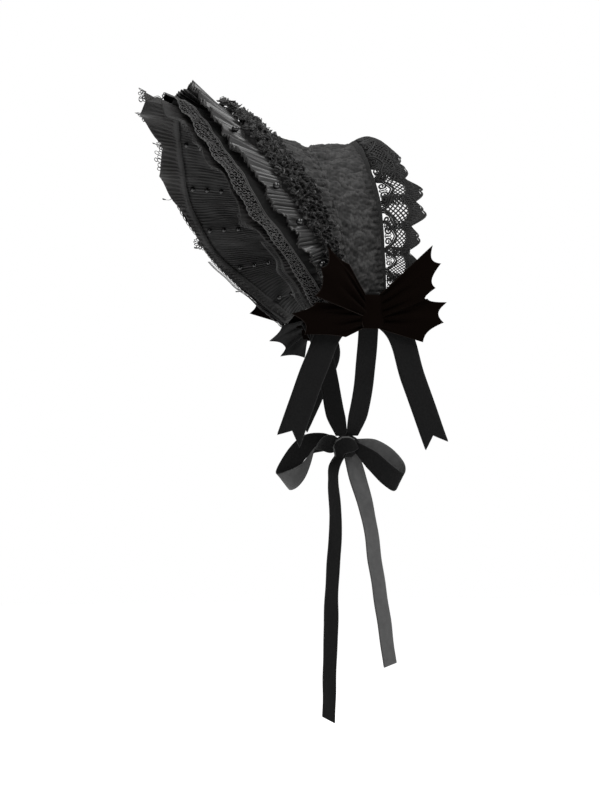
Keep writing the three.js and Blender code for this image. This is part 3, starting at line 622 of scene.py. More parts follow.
# The rim binding
# A strip of the lining's cloth wrapped round the rim and slightly rucked.
# Its section from inside to outside, in mm: (distance past the rim, lift).
BINDING = [(-8.5, -6.2), (-4, -6.6), (0, -5.2), (1.2, -2), (0.8, 1.2), (-4, 2.1)]
BINDING_RUCKS = 190
u = np.linspace(0, 1, 560)[:, None]
past = np.array([row[0] for row in BINDING])[None, :] / 1000
lift = np.array([row[1] for row in BINDING])[None, :] / 1000
ruck = 0.0003 * np.sin(2 * np.pi * u * BINDING_RUCKS)
flat = np.stack(np.broadcast_arrays(u * brim_length, np.linspace(0, 0.02, len(BINDING))[None, :]), axis=-1)
binding = cloth("rim_binding", past_rim(u, past, lift - ruck), flat, LINING_WALL, [pleated])
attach(binding, "root")

# The frill
# Sheer black cloth gathered under the rim. Its edge is cut in points, like the corners of a handkerchief.
FRILL_FOLDS = 18
FRILL_LIFT = -0.0034
FRILL_WALL = 0.0003
FRILL_START = -0.0065
FRILL_FULLNESS = 1.1
FOLD_START = 0.0015
# How far it stands past the rim at its points and hollows: (place from the ear at 0 to the top at 1, mm).
FRILL_EDGE_LEFT = [
    (0, 10), (0.2, 14), (0.3, 9), (0.42, 17), (0.55, 9), (0.67, 18), (0.76, 11), (0.87, 27), (1, 34),
]
FRILL_EDGE_RIGHT = [
    (0, 3), (0.2, 4), (0.4, 1.5), (0.51, 3), (0.67, 21), (0.79, 12), (0.88, 39), (0.95, 30), (1, 34),
]


def frill_fold(u, distance):
    """How far a fold lifts the cloth at a distance past the rim."""
    grown = 0.0005 + 0.18 * np.maximum(0, distance - FOLD_START)
    return np.sin(2 * np.pi * u * FRILL_FOLDS) * grown


def frill_edge(u):
    """How far the frill reaches past the rim."""
    at = 1 - np.abs(2 * u - 1)
    left = np.interp(at, [row[0] for row in FRILL_EDGE_LEFT], [row[1] for row in FRILL_EDGE_LEFT])
    right = np.interp(at, [row[0] for row in FRILL_EDGE_RIGHT], [row[1] for row in FRILL_EDGE_RIGHT])
    return np.where(u < 0.5, left, right) / 1000


sheer = shader("sheer_cloth", (0.0082, 0.0076, 0.0073), 0.6, 0.3, sheen=0.04)
sheer.node_tree.nodes["Principled BSDF"].inputs["Alpha"].default_value = 0.94
add_weave(sheer, 1500, 0.0002)
u = np.linspace(0, 1, 660)[:, None]
v = np.linspace(0, 1, 15)[None, :]
open_band = 0.0022 * fade(np.abs(u - 0.5), 0.32, 0.34)
reach = FRILL_START + (frill_edge(u) - open_band - FRILL_START) * v
rucks = np.sin(2 * np.pi * u * 130 + 2 * np.sin(2 * np.pi * u * 17))
small = 0.0009 * rucks * (1 - fade(reach, 0.006, 0.03))
flat = np.stack(np.broadcast_arrays(u * brim_length * FRILL_FULLNESS, reach), axis=-1)
frill_places = past_rim(u, reach, FRILL_LIFT - 0.0024 + frill_fold(u, reach) + small)
frill = cloth("frill", frill_places, flat, FRILL_WALL, [sheer])
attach(frill, "root")
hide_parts("rim_frill")

# The picot lace
# A cord along the frill's edge. Near the ears a ladder of bars runs beside it, and higher up there are chains
# of small rings, fans of long loops, and drops that hang from points of the frill.
# Where each kind is, as shares of the way from the left ear to the right: (first, last, rows), place, (first,
# last) and place.
RING_CHAINS = ((0.19, 0.22, 1), (0.345, 0.4, 1), (0.475, 0.528, 2), (0.545, 0.575, 1), (0.604, 0.652, 2))
LOOP_FANS = (0.2, 0.4, 0.606, 0.797)
LADDERS = ((0.0, 0.165), (0.835, 1.0))
DROPS = (0.3, 0.603, 0.708, 0.803, 0.912)
LADDER_CORDS = (-0.0022, -0.0012, 0.0048, 0.0060)
LADDER_STEP = 0.0022
RING_STEP = 0.0042
LOOP_LENGTH = 0.0080
LOOP_ANGLES = (-75, -50, -25, 0, 25, 50, 75)
PICOT_RADII = {"edge": 0.0004, "ladder": 0.00045, "bar": 0.00026, "ring": 0.00038, "loop": 0.00042}
DROP_RADII = (0.0003, 0.0011)
DROP_LENGTH = 0.0095
lace_thread = shader("lace_thread", (0.0085, 0.0083, 0.0082), 0.55, 0.35, sheen=0.03)


def on_frill(s, t, h):
    """Sets a flat place, s along the frill's edge and t past it, on the frill."""
    u = s / brim_length
    distance = frill_edge(u) + t
    return past_rim(u, distance, FRILL_LIFT - 0.0012 + frill_fold(u, distance) + h)


def straight(start, end, count):
    return np.linspace(start, end, count)


def ring(x, y, radius, count, squash=1.0):
    turn = np.arange(count) * 2 * np.pi / count
    return np.stack([x + radius * np.cos(turn), y + squash * radius * np.sin(turn)], axis=-1)


def past_edge(at, outline):
    """Moves an outline drawn round a place on the frill's edge there, unsheared by the slope of the edge."""
    s = at + outline[:, 0]
    t = outline[:, 1] + frill_edge(at / brim_length) - frill_edge(np.clip(s / brim_length, 0, 1))
    return np.stack([s, t], axis=-1)


def thread_area(strokes, width, length):
    """The cloth's area that threads along flat strokes make up, at most that of the flat piece."""
    total = 0
    for points, radius, closed in strokes:
        points = np.asarray(points, float)
        total += np.pi * np.mean(radius) * np.linalg.norm(np.diff(points, axis=0), axis=1).sum()
    return min(total, width * length)


picot_strokes = [(straight((0, 0), (brim_length, 0), 620), PICOT_RADII["edge"], False)]
for first, last in LADDERS:
    ends = (first * brim_length, last * brim_length)
    for t in LADDER_CORDS:
        picot_strokes.append((straight((ends[0], t), (ends[1], t), 120), PICOT_RADII["ladder"], False))
    for s in np.arange(ends[0] + 0.001, ends[1], LADDER_STEP):
        bar = straight((s, LADDER_CORDS[0]), (s, LADDER_CORDS[2]), 3)
        picot_strokes.append((bar, PICOT_RADII["bar"], False))
ring_draw = np.random.default_rng(3)
for first, last, rows in RING_CHAINS:
    rings = round((last - first) * brim_length / RING_STEP)
    for k in range(rings):
        at = (first + (k + 0.5) / rings * (last - first)) * brim_length
        foot = 0.0
        for row in range(ring_draw.integers(1, rows + 1)):
            radius = ring_draw.uniform(0.0013, 0.0021)
            aside = ring_draw.uniform(-0.001, 0.001)
            outline = ring(aside, foot + radius, radius, 12, ring_draw.uniform(0.9, 1.3))
            picot_strokes.append((past_edge(at, outline), PICOT_RADII["ring"], True))
            foot += 2.1 * radius
for place in LOOP_FANS:
    for angle in np.radians(LOOP_ANGLES):
        turn = np.linspace(0, 2 * np.pi, 16, endpoint=False)
        along = LOOP_LENGTH / 2 * (1 - np.cos(turn))
        side = 0.0015 * np.sin(turn) * (0.55 + 0.45 * along / LOOP_LENGTH)
        loop_s = along * np.sin(angle) + side * np.cos(angle)
        loop_t = along * np.cos(angle) - side * np.sin(angle)
        outline = np.stack([loop_s, loop_t], axis=-1)
        picot_strokes.append((past_edge(place * brim_length, outline), PICOT_RADII["loop"], True))
for tip in DROPS:
    drop = np.linspace(0, 1, 9)
    drop_s = tip * brim_length + 0.0012 * np.sin(4 * drop)
    hanging = np.stack([drop_s, 0.0005 + DROP_LENGTH * drop, -0.001 * drop], axis=-1)
    thin, thick = DROP_RADII
    picot_strokes.append((hanging, thin + (thick - thin) * fade(drop, 0.6, 0.85), False))
picot = threads("picot_lace_threads", picot_strokes, on_frill, [lace_thread], sides=4)
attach(picot, "root")
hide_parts("picot_lace")

# The edge lace
# Heavy guipure lace over the rim: three rows of curls held together by bars, with a doubled cord along its
# inner edge and small arches along its outer one. Under it, a near-black sheet is painted shade.
EDGE_LACE_BACK = 0.009
CURL_PITCH = 0.0062
CURL_ROWS = (0.0056, 0.0106, 0.0156)
CURL_RADIUS = 0.0005
CURL_BAR = 0.0028
EDGE_CORDS = (0.0008, 0.0026)
EDGE_CORD_RADIUS = 0.00065
EDGE_ARCH = {"at": 0.0180, "half_width": 0.0031, "rise": 0.0022, "radius": 0.0006}
EDGE_WIDTH = 0.020
PAINTED_SHADE_WALL = 0.0002
guipure = shader("guipure", (0.039, 0.0385, 0.038), 0.55, 0.35, sheen=0.05)
guipure_tree = guipure.node_tree
guipure_bump = guipure_tree.nodes.new("ShaderNodeBump")
guipure_bump.inputs["Distance"].default_value = 0.0003
guipure_tree.links.new(cloudy(guipure, 1800, 1), guipure_bump.inputs["Height"])
guipure_tree.links.new(guipure_bump.outputs["Normal"], guipure_tree.nodes["Principled BSDF"].inputs["Normal"])
# Painted shade: the near-black of the sheet under the edge lace stands for the shadow behind its cords.
edge_shade_paint = shader("edge_shade_paint", (0.0012, 0.0012, 0.0012), 1.0, 0.02)


def on_edge_lace(s, t, h):
    """Sets a flat place of the lace, s along it and t out from its inner edge, over the rim."""
    u = s / brim_length
    distance = t * (depth_at(u, "edge") + EDGE_LACE_BACK) / EDGE_WIDTH - EDGE_LACE_BACK
    waves = 0.0008 * crumple(s, t, 0.02, 9)
    return past_rim(u, distance, 0.0034 + waves + frill_fold(u, np.maximum(distance, 0)) * 0.8 + h)


def scroll(x, y, size, start, turns, count, closing=0.82):
    """A cord that winds in towards its middle."""
    t = np.linspace(0, 1, count)
    radius = size * (1 - closing * t)
    angle = start + turns * 2 * np.pi * t
    return np.stack([x + radius * np.cos(angle), y + radius * np.sin(angle)], axis=-1)


def grid_area(places):
    """The area of a grid of places."""
    one = places[1:, 1:] - places[:-1, :-1]
    other = places[:-1, 1:] - places[1:, :-1]
    return float(np.linalg.norm(np.cross(one, other), axis=-1).sum() / 2)


curl_draw = np.random.default_rng(8)
edge_strokes = []
for t in EDGE_CORDS:
    edge_strokes.append((straight((0, t), (brim_length, t), 560), EDGE_CORD_RADIUS, False))
curls = round(brim_length / CURL_PITCH)
for k in range(curls):
    for row, t in enumerate(CURL_ROWS):
        x = (k + 0.5 + 0.5 * (row % 2)) * brim_length / curls + curl_draw.uniform(-0.0005, 0.0005)
        hand = 1 if (k + row) % 2 else -1
        size = curl_draw.uniform(0.0024, 0.0029)
        begin = curl_draw.uniform(0, 2 * np.pi)
        turns = curl_draw.uniform(0.9, 1.3) * hand
        edge_strokes.append((scroll(x, t, size, begin, turns, 16, 0.6), CURL_RADIUS, False))
        bar = straight((x, t + size), (x + 0.5 * CURL_PITCH, t + CURL_BAR), 2)
        edge_strokes.append((bar, CURL_RADIUS, False))
    x = (k + 0.5) * brim_length / curls
    edge_strokes.append((straight((x, EDGE_CORDS[1]), (x, EDGE_CORDS[1] + 0.001), 2), CURL_RADIUS, False))
    turn = np.linspace(0, np.pi, 9)
    arch_s = x + EDGE_ARCH["half_width"] * np.cos(turn)
    arch_t = EDGE_ARCH["at"] + EDGE_ARCH["rise"] * np.sin(turn)
    edge_strokes.append((np.stack([arch_s, arch_t], axis=-1), EDGE_ARCH["radius"], False))
edge_lace = threads("edge_lace_cords", edge_strokes, on_edge_lace, [guipure], sides=4)
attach(edge_lace, "root")
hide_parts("edge_lace")

# Painted shade: a near-black sheet just under the lace's cords, standing for the shadow seen between them.
s = np.linspace(0, brim_length, 400)[:, None]
t = np.linspace(EDGE_CORDS[0], EDGE_ARCH["at"], 5)[None, :]
s, t = np.broadcast_arrays(s, t)
painted_shade_places = on_edge_lace(s, t, -0.0007)
flat = np.stack([s, t], axis=-1)
painted_shade_sheet = cloth("edge_lace_painted_shade", painted_shade_places, flat, PAINTED_SHADE_WALL, [edge_shade_paint])
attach(painted_shade_sheet, "root")

# The pleated trim
# A satin ribbon set in fine knife pleats and tacked down in waves. Its front edge stands free of the brim,
# and both edges are bound with a dark cord.
TRIM_PLEATS = 126
TACKS = [0.104, 0.187, 0.262, 0.385, 0.5, 0.615, 0.738, 0.813, 0.896]
TRIM_TACKED = 0.6
TRIM_SPAN = 0.38
TRIM_LIFT = 0.0044
TRIM_WALL = 0.0004
TRIM_CORD = 0.00055
TRIM_RIPPLES = 27
PLEAT_STAND = {"back": 0.0030, "more_in_front": 0.0022}
# One pleat: places along it, and how far it stands up there. It folds back under its own crest.
PLEAT_PROFILE = ((0.0, 0.0), (0.35, 0.5), (0.75, 0.92), (1.02, 1.0), (1.07, 0.86), (0.93, 0.34))
satin = shader("satin", (0.0160, 0.0157, 0.0155), 0.36, 0.5, sheen=0.03)
add_weave(satin, 2400, 0.0001, 0.3)
trim_binding = shader("trim_binding", (0.008, 0.0075, 0.007), 0.6, 0.3, sheen=0.05)


def trim_fan(u):
    """The share of its full width that the trim has: the least at a tack and all of it halfway between."""
    stops = np.array([0, *TACKS, 1])
    k = np.clip(np.searchsorted(stops, u), 1, len(stops) - 1)
    half_turn = np.pi * (u - stops[k - 1]) / (stops[k] - stops[k - 1])
    return TRIM_TACKED + (1 - TRIM_TACKED) * np.sin(half_turn)


def on_trim(u, share, lift):
    """Places on the trim: share runs from its back edge at 0 to its free edge at 1."""
    fan = trim_fan(u)
    across = depth_at(u, "trim") + TRIM_SPAN * fan * (share - 0.5)
    stand = TRIM_LIFT + (depth_at(u, "stand") / 1000 - TRIM_LIFT) * share * fan
    ripple = 0.0022 * share**1.5 * np.sin(2 * np.pi * u * TRIM_RIPPLES + 1.5 * np.sin(2 * np.pi * u * 5))
    low_down = 0.4 + 0.6 * fade(np.abs(u - 0.5), 0.22, 0.3)
    loose = 0.0045 * crumple(u * 0.45, 0 * u, 0.013, 33) * low_down * (0.3 + 0.7 * share)
    return on_brim(u, across, stand + ripple + loose + lift)


def pleats_stand(share, freedom):
    """How far the pleats' crests stand up: the most at the free edge, and less near a tack."""
    return (PLEAT_STAND["back"] + PLEAT_STAND["more_in_front"] * share) * (0.4 + 0.6 * freedom)


pleat_places = np.array([row[0] for row in PLEAT_PROFILE])
pleat_rises = np.array([row[1] for row in PLEAT_PROFILE])
trim_u = ((np.arange(TRIM_PLEATS)[:, None] + pleat_places) / TRIM_PLEATS).ravel()
trim_u = np.clip(np.append(trim_u, 1.0), 0, 1)
trim_rise = np.append(np.tile(pleat_rises, TRIM_PLEATS), 0.0)
share = np.linspace(0, 1, 12)[None, :]
loosened = (trim_fan(trim_u) - TRIM_TACKED) / (1 - TRIM_TACKED)
uneven = 1 + 0.55 * crumple(trim_u * 0.5, 0 * trim_u, 0.009, 31)
lift = trim_rise[:, None] * pleats_stand(share, loosened[:, None]) * uneven[:, None]
trim_length = brim_length * 0.8
flat_along = np.arange(len(trim_u)) / len(trim_u) * trim_length * 2.4
flat = np.stack(np.broadcast_arrays(flat_along[:, None], share * 0.032), axis=-1)
trim_places = on_trim(trim_u[:, None], share, lift)
trim = cloth("trim_satin", trim_places, flat, TRIM_WALL, [satin])
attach(trim, "root")
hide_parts("pleated_trim")


def cord(name, places, radius, materials, sides=6):
    """A round cord through places on the bonnet."""
    places = np.asarray(places, float)
    way = np.gradient(places, axis=0)
    way /= np.maximum(np.linalg.norm(way, axis=1, keepdims=True), 1e-9)
    side = np.cross(way, (0.31, 0.2, 0.93))
    side /= np.maximum(np.linalg.norm(side, axis=1, keepdims=True), 1e-9)
    up = np.cross(side, way)
    turns = np.arange(sides) * 2 * np.pi / sides
    rings = places[:, None] + radius * (
        np.cos(turns)[None, :, None] * side[:, None] + np.sin(turns)[None, :, None] * up[:, None]
    )
    mesh = bpy.data.meshes.new(name)
    mesh.from_pydata(rings.reshape(-1, 3).tolist(), [], tube_faces(0, len(places), sides))
    piece = finish_mesh(name, mesh, materials)
    turn_outward()
    return piece


for edge_name, at_share in (("back", 0.0), ("front", 1.0)):
    edge_lift = trim_rise * pleats_stand(at_share, loosened) * uneven
    edge_line = on_trim(trim_u, np.full(len(trim_u), at_share), edge_lift)
    bound = cord(f"trim_binding_{edge_name}", edge_line, TRIM_CORD, [trim_binding])
    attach(bound, "root")

# The gathered lace
# Strips of net lace behind the pleated trim, each sewn down along its back edge and so full that it stands up
# in a froth of small folds, some upright and some leaning forward.
GATHER_STRIPS = 5
GATHER_FOLDS = 118
GATHER_WIDTH = 0.0125
GATHER_FULLNESS = 2.4
GATHER_CELL = 0.003
# The lengthwise threads of a strip, in metres: (place across, radius, how many steps to a cell).
GATHER_THREADS = ((0.0004, 0.0004, 1), (0.0085, 0.0004, 1), (0.0100, 0.00045, 2))
GATHER_DIAMONDS = (0.0004, 0.0044, 0.0085)
GATHER_SCALLOP = 0.0018
GATHER_RADII = {"diamond": 0.0003, "scallop": 0.00045}
NET_ACROSS = (0.0003, 0.0100)
GATHER_NET_WALL = 0.0002
frothy_net = shader("frothy_net", (0.021, 0.0206, 0.0204), 0.7, 0.25, sheen=0.03)
frothy_net.node_tree.nodes["Principled BSDF"].inputs["Alpha"].default_value = 0.85
frothy_thread = shader("frothy_thread", (0.048, 0.0475, 0.047), 0.55, 0.35, sheen=0.04)


def gathered_place(strip):
    """Sets a flat place of one strip on its folds."""

    def place(s, t, h):
        u = np.clip(s / (trim_length * GATHER_FULLNESS), 0, 1)
        x = u * trim_length
        front = depth_at(u, "trim") - 0.2
        first = 0.15 + 0.22 * (1 - fade(np.abs(u - 0.5), 0.05, 0.28))
        stray = 0.012 * crumple(x, 0 * x, 0.016, 60 + strip)
        back = first + (front - first) * strip / (GATHER_STRIPS - 1) + stray
        turn = 2 * np.pi * u * GATHER_FOLDS + 1.7 * strip + 3.5 * crumple(x, 0 * x, 0.011, 40 + strip)
        reach = t / GATHER_WIDTH
        tilt = 0.7 + 0.55 * np.sin(turn) + 0.5 * crumple(x, 0 * x, 0.005, 80 + strip)
        lean = tilt * (0.45 + 0.55 * reach)
        size = 0.7 + 0.22 * crumple(x, 0 * x, 0.010, 70 + strip) + 0.14 * np.cos(2.7 * turn)
        tall = size * GATHER_WIDTH * reach
        bed = (0.1 + 0.1 * strip) * depth_at(u, "stand") / 1000
        rise = 0.0018 + bed + tall * np.cos(lean)
        along = u + 0.0024 * reach * np.cos(turn) / trim_length
        return on_brim(along, back + tall * np.sin(lean) / brim_width(u), rise + h)

    return place


gathered_length = trim_length * GATHER_FULLNESS
cells = round(gathered_length / GATHER_CELL)
cell = gathered_length / cells
gathered_strokes = []
for t, radius, steps in GATHER_THREADS:
    gathered_strokes.append((straight((0, t), (gathered_length, t), cells * steps), radius, False))
for k in range(cells):
    x = k * cell
    rows = np.array(GATHER_DIAMONDS)
    swing = np.array([0, 1, 0])
    for side in (x + swing * cell / 2, x + cell - swing * cell / 2):
        gathered_strokes.append((np.stack([side, rows], axis=-1), GATHER_RADII["diamond"], False))
    turn = np.linspace(0, np.pi, 4)
    arch_t = NET_ACROSS[1] + GATHER_SCALLOP * np.sin(turn)
    arch = np.stack([x + cell / 2 + cell / 2 * np.cos(turn), arch_t], axis=-1)
    gathered_strokes.append((arch, GATHER_RADII["scallop"], False))
for strip in range(GATHER_STRIPS):
    place = gathered_place(strip)
    gathers = threads(f"gathered_lace_{strip + 1}", gathered_strokes, place, [frothy_thread], sides=3)
    s = np.linspace(0, gathered_length, 950)[:, None]
    t = np.linspace(*NET_ACROSS, 4)[None, :]
    s, t = np.broadcast_arrays(s, t)
    net_places = place(s, t, 0 * s)
    flat = np.stack([s, t], axis=-1)
    net = cloth(f"gathered_net_{strip + 1}", net_places, flat, GATHER_NET_WALL, [frothy_net])
    net_area = grid_area(net_places)
    unfolded = net_area / (NET_ACROSS[1] - NET_ACROSS[0])
    knotted = thread_area(gathered_strokes, unfolded, GATHER_WIDTH)
    for piece, area in ((gathers, knotted), (net, net_area)):
        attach(piece, "root")
    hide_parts("gathered_lace")

# The nape lace
# A wide ruffle of openwork lace, gathered on to the crown's back edge. From the gathers outwards it has bars,
# arches with scrolls and leaves in them, a net of diamonds, and a close border of rays and scallops.
NAPE_FOLDS = 16
NAPE_FULLNESS = 1.9
NAPE_WIDTH = 0.046
NAPE_REPEATS = 28
nape_run = (nape_line[1][-1] + lace_line[1][-1]) / 2
nape_flat = nape_run * NAPE_FULLNESS
nape_repeat = nape_flat / NAPE_REPEATS


def on_nape_lace(s, t, h):
    """Sets a flat place of the lace on its folds. Each runs forward and turns back under itself, so that the
    lace lies three deep between two lobes."""
    p = s / nape_flat * NAPE_FOLDS
    p = p + 0.1 * np.sin(2.1 * p) + 0.07 * np.sin(1.3 * p + 1)
    v = -0.03 + 1.03 * t / NAPE_WIDTH
    part = p % 1
    forward = (1 + NAPE_FULLNESS) / (2 * NAPE_FULLNESS)
    runs_on = np.clip(part / forward, 0, 1)
    turns_back = np.clip((part - forward) / (1 - forward), 0, 1)
    ahead = (NAPE_FULLNESS - 1) * forward * (runs_on - turns_back - 0.5)
    at_ends = fade(s, 0, 0.02) * fade(nape_flat - s, 0, 0.02)
    u = np.clip((p + ahead * at_ends * (1 - 0.25 * np.clip(v, 0, 1))) / NAPE_FOLDS, 0, 1)
    over = 0.5 - 0.5 * np.cos(np.pi * (runs_on - turns_back))
    height = np.sin(np.pi * u)
    bulge = (3 + 10 * height) / 1000 * 4 * v * (1 - v)
    fold = (5 + 4 * height) / 1000 * (0.2 + 0.8 * v) * (over - 0.4)
    lobe = 0.34 * v * (np.sin(np.pi * runs_on) ** 2.5 * (1 - turns_back) - 0.38) + 0.06 * v * np.sin(1.9 * p)
    return between(nape_line, lace_line, u, v * (1 + lobe), -(bulge + fold + h))


def leaf(x, y, length, angle, bend):
    """The outline of a leaf that starts at x, y and curves by bend on its way to its tip."""
    t = np.linspace(0, 1, 9)
    way = angle + bend * t
    out = np.stack([x + length * t * np.cos(way), y + length * t * np.sin(way)], axis=-1)
    side = np.stack([-np.sin(way), np.cos(way)], axis=-1) * (0.22 * length * np.sin(np.pi * t))[:, None]
    return np.vstack([out + side, (out - side)[-2:0:-1]])


NET_FIRST = 0.0095
NET_ROW = 0.0023
NET_ROWS = 9
NET_CELLS = 7
NET_RADIUS = 0.0009
BARS = 8
RAYS = 14
BORDER = 0.0304
HEMS = (0.0002, 0.0014, 0.0026, 0.0038, 0.0050)
HEM_RADIUS = 0.0009
BORDER_CORDS = ((BORDER, 0.0008), (BORDER + 0.002, 0.0006))
# The two arcs of a scallop: (distance past the border, rise, radius).
SCALLOPS = ((0.0022, 0.0055, 0.0007), (0.0092, 0.0050, 0.0009))
ARCH_FOOT = 0.0057
NAPE_RADII = {"bar": 0.0006, "arch": 0.0013, "inner": 0.0008, "curl": 0.00095}
NAPE_RADII |= {"leaf": 0.00045, "ring": 0.0006, "ray": 0.0007}
nape_strokes = []
for t, radius in (*((t, HEM_RADIUS) for t in HEMS), *BORDER_CORDS):
    nape_strokes.append((straight((0, t), (nape_flat, t), 900), radius, False))
for k in range(NAPE_REPEATS * BARS):
    x = (k + 0.5) * nape_repeat / BARS
    nape_strokes.append((straight((x, 0.0006), (x, 0.0042), 2), NAPE_RADII["bar"], False))
net_rows = NET_FIRST + NET_ROW * np.arange(NET_ROWS + 1)
net_swing = np.arange(NET_ROWS + 1) % 2
for k in range(NAPE_REPEATS):
    x = (k + 0.5) * nape_repeat
    half = nape_repeat / 2
    turn = np.linspace(0, 1, 12)
    for hand in (-1, 1):
        arch = np.stack([x + hand * half * (1 - turn**1.6), ARCH_FOOT + 0.0145 * turn**0.8], axis=-1)
        inner_s = x + hand * (half - 0.0022) * (1 - turn**1.6)
        inner = np.stack([inner_s, ARCH_FOOT + 0.0118 * turn**0.8], axis=-1)
        curl = scroll(x + hand * half * 0.38, 0.0102, 0.0038, np.pi / 2, 1.25 * hand, 18)
        leaflet = leaf(x, 0.0066, 0.0080, np.pi / 2 - 0.5 * hand, 0.3 * hand)
        nape_strokes += [
            (arch, NAPE_RADII["arch"], False),
            (inner, NAPE_RADII["inner"], False),
            (curl, NAPE_RADII["curl"], False),
            (leaflet, NAPE_RADII["leaf"], True),
            (ring(x + hand * half * 0.76, 0.0108, 0.0016, 8), NAPE_RADII["ring"], True),
        ]
    cell = nape_repeat / NET_CELLS
    for j in range(NET_CELLS):
        left = x - half + j * cell
        away = abs(j + 0.5 - NET_CELLS / 2) / (NET_CELLS / 2)
        keep = slice(round(4.5 * (1 - away**1.6)), None)
        for foot, way in ((left, 1), (left + cell, -1)):
            net_line = np.stack([foot + way * net_swing * cell / 2, net_rows], axis=-1)
            nape_strokes.append((net_line[keep], NET_RADIUS, False))
    for j in range(RAYS):
        foot = x - half + (j + 0.5) * nape_repeat / RAYS
        top = BORDER + 0.0125 * (0.8 + 0.2 * np.abs(np.sin(np.pi * (j + 0.5) / RAYS * 2)))
        nape_strokes.append((straight((foot, BORDER_CORDS[1][0]), (foot, top), 3), NAPE_RADII["ray"], False))
    for j in range(2):
        middle = x - half + (j + 0.5) * half
        turn = np.linspace(0, np.pi, 12)
        for foot, reach, radius in SCALLOPS:
            bow = foot + reach * np.sin(turn) ** 0.8
            outline = np.stack([middle + half / 2 * np.cos(turn), BORDER + bow], axis=-1)
            nape_strokes.append((outline, radius, False))
nape_thread = shader("nape_thread", (0.0066, 0.0065, 0.0064), 0.6, 0.3)
nape = threads("nape_lace_threads", nape_strokes, on_nape_lace, [nape_thread], sides=4)
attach(nape, "root")
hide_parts("nape_lace")

# Between the border's rays the lace is filled with a close fine ground. Over the top of the head, where the
# ruffle lies doubled, the ground reaches further in.
GROUND_WALL = 0.0002
lace_ground = shader("lace_ground", (0.0045, 0.0044, 0.0043), 0.8, 0.2, sheen=0.02)
lace_ground.node_tree.nodes["Principled BSDF"].inputs["Alpha"].default_value = 0.85
add_weave(lace_ground, 900, 0.0004)
s = np.linspace(0, nape_flat, 1000)[:, None]
v = np.linspace(0, 1, 6)[None, :]
at_top = 1 - fade(np.abs(s / nape_flat - 0.5), 0.155, 0.19)
scallop = BORDER + 0.0090 + 0.0048 * np.abs(np.sin(2 * np.pi * s / nape_repeat)) ** 0.8
first_row = BORDER - 0.025 * at_top
t = first_row + (scallop - first_row) * v
s = np.broadcast_to(s, t.shape)
flat = np.stack([s, t], axis=-1)
ground = cloth("nape_lace_ground", on_nape_lace(s, t, -0.0006), flat, GROUND_WALL, [lace_ground])
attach(ground, "root")

# The trim beads
# Glossy black beads with a bored hole, one where each bend of the pleated trim is tacked down.
BEAD_RADIUS = 0.004
BEAD_CLEAR = 0.003
BEAD_FLATTENED = 0.93
jet = shader("jet", (0.002, 0.002, 0.0022), 0.06, 0.5)


def bead(name, middle, radius, axis):
    """A slightly flattened ball with a dimpled hole through it along axis."""
    bpy.ops.mesh.primitive_uv_sphere_add(segments=24, ring_count=14, radius=radius)
    ball = bpy.context.object
    ball.name = name
    for corner in ball.data.vertices:
        from_axis = (corner.co.x**2 + corner.co.y**2) ** 0.5
        corner.co.z *= BEAD_FLATTENED
        if from_axis < 0.2 * radius:
            corner.co.z *= 0.55
    turn = Vector((0, 0, 1)).rotation_difference(Vector(axis)).to_matrix().to_4x4()
    turn.translation = Vector(middle)
    ball.data.transform(turn)
    ball.data.materials.append(jet)
    bpy.ops.object.shade_smooth()
    return ball


for k, tack in enumerate(TACKS):
    u = np.array(tack)
    stand = TRIM_LIFT + (depth_at(u, "stand") / 1000 - TRIM_LIFT) * TRIM_TACKED / 2
    lift = stand + BEAD_CLEAR + BEAD_RADIUS
    middle = on_brim(u, depth_at(u, "trim"), lift)
    along = on_brim(u + 0.004, depth_at(u, "trim"), lift) - middle
    trim_bead = bead(f"trim_bead_{k + 1}_ball", middle, BEAD_RADIUS, along)
    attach(trim_bead, "root")
    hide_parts(f"trim_bead_{k + 1}")

# The lining beads
# Rows of three smaller beads, each row threaded along a pleat inside the brim.
BEAD_ROWS = 11
LINING_BEAD_RADIUS = 0.003
BEADS_PAST_RIM = (-0.015, -0.031, -0.047)
BEAD_ROW_LIFT = -0.0089
BEAD_THREAD_RADIUS = 0.0004
for k in range(BEAD_ROWS):
    u = np.full(3, (k + 0.5) / BEAD_ROWS)
    places = past_rim(u, np.array(BEADS_PAST_RIM), BEAD_ROW_LIFT)
    along = places[0] - places[2]
    balls = []
    for n, place in enumerate(places):
        balls.append(bead(f"lining_bead_{k + 1}_{n + 1}", place, LINING_BEAD_RADIUS, along))
    thread_line = np.linspace(places[0], places[2], 12)
    bead_thread = cord(f"bead_thread_{k + 1}", thread_line, BEAD_THREAD_RADIUS, [stitch_thread])
    for piece in (*balls, bead_thread):
        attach(piece, "root")
        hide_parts(f"lining_beads_{k + 1}")

# The bows' wings
# Four fans of black velvet on each side, gathered into the knot and cut in hollow scallops between pointed
# tips. A lighter brownish cord along the cut edges is a painted highlight.
BOW_CENTRE = np.array((0.089, 0.008, -0.185))
BOW_KNOT = {"thickness": 9, "width": 29, "height": 36}
VELVET_WALL = 0.0009
VELVET_CORD = 0.00042
# Places beside the knot's middle, in mm: (towards the back, up, out from the head).
WINGS = [
    {
        "name": "rear_upper",
        "root": [[8, 18, 1], [8, -9, 1]],
        "tips": [[62, 71, 20], [71, 52, 21], [66, 26, 18], [57, 14, 12]],
    },
    {
        "name": "rear_lower",
        "root": [[8, 6, -2], [8, -17, -2]],
        "tips": [[62, 15, 5], [84, 12, 8], [79, -10, 8], [58, -31, 4]],
    },
    {
        "name": "front_upper",
        "root": [[-8, 17, 2.5], [-8, -6, 2.5]],
        "tips": [[-32, 48, 14], [-57, 65, 20], [-66, 42, 21], [-71, 13, 19]],
    },
    {
        "name": "front_lower",
        "root": [[-8, 6, -1], [-8, -17, -1]],
        "tips": [[-66, 7, 8], [-94, -6, 9], [-79, -27, 7], [-31, -28, 3]],
    },
]
HANGING_TIPS = {
    "front_lower": [[-36, -1, 6], [-51, -19, 8], [-31, -25, 7.5], [-38, -36, 7], [-10, -37, 3]],
    "rear_lower": [[52, 26, 5], [78, 23, 8], [74, 8, 8], [54, -2, 4]],
}
WING_SCALLOP = 0.1
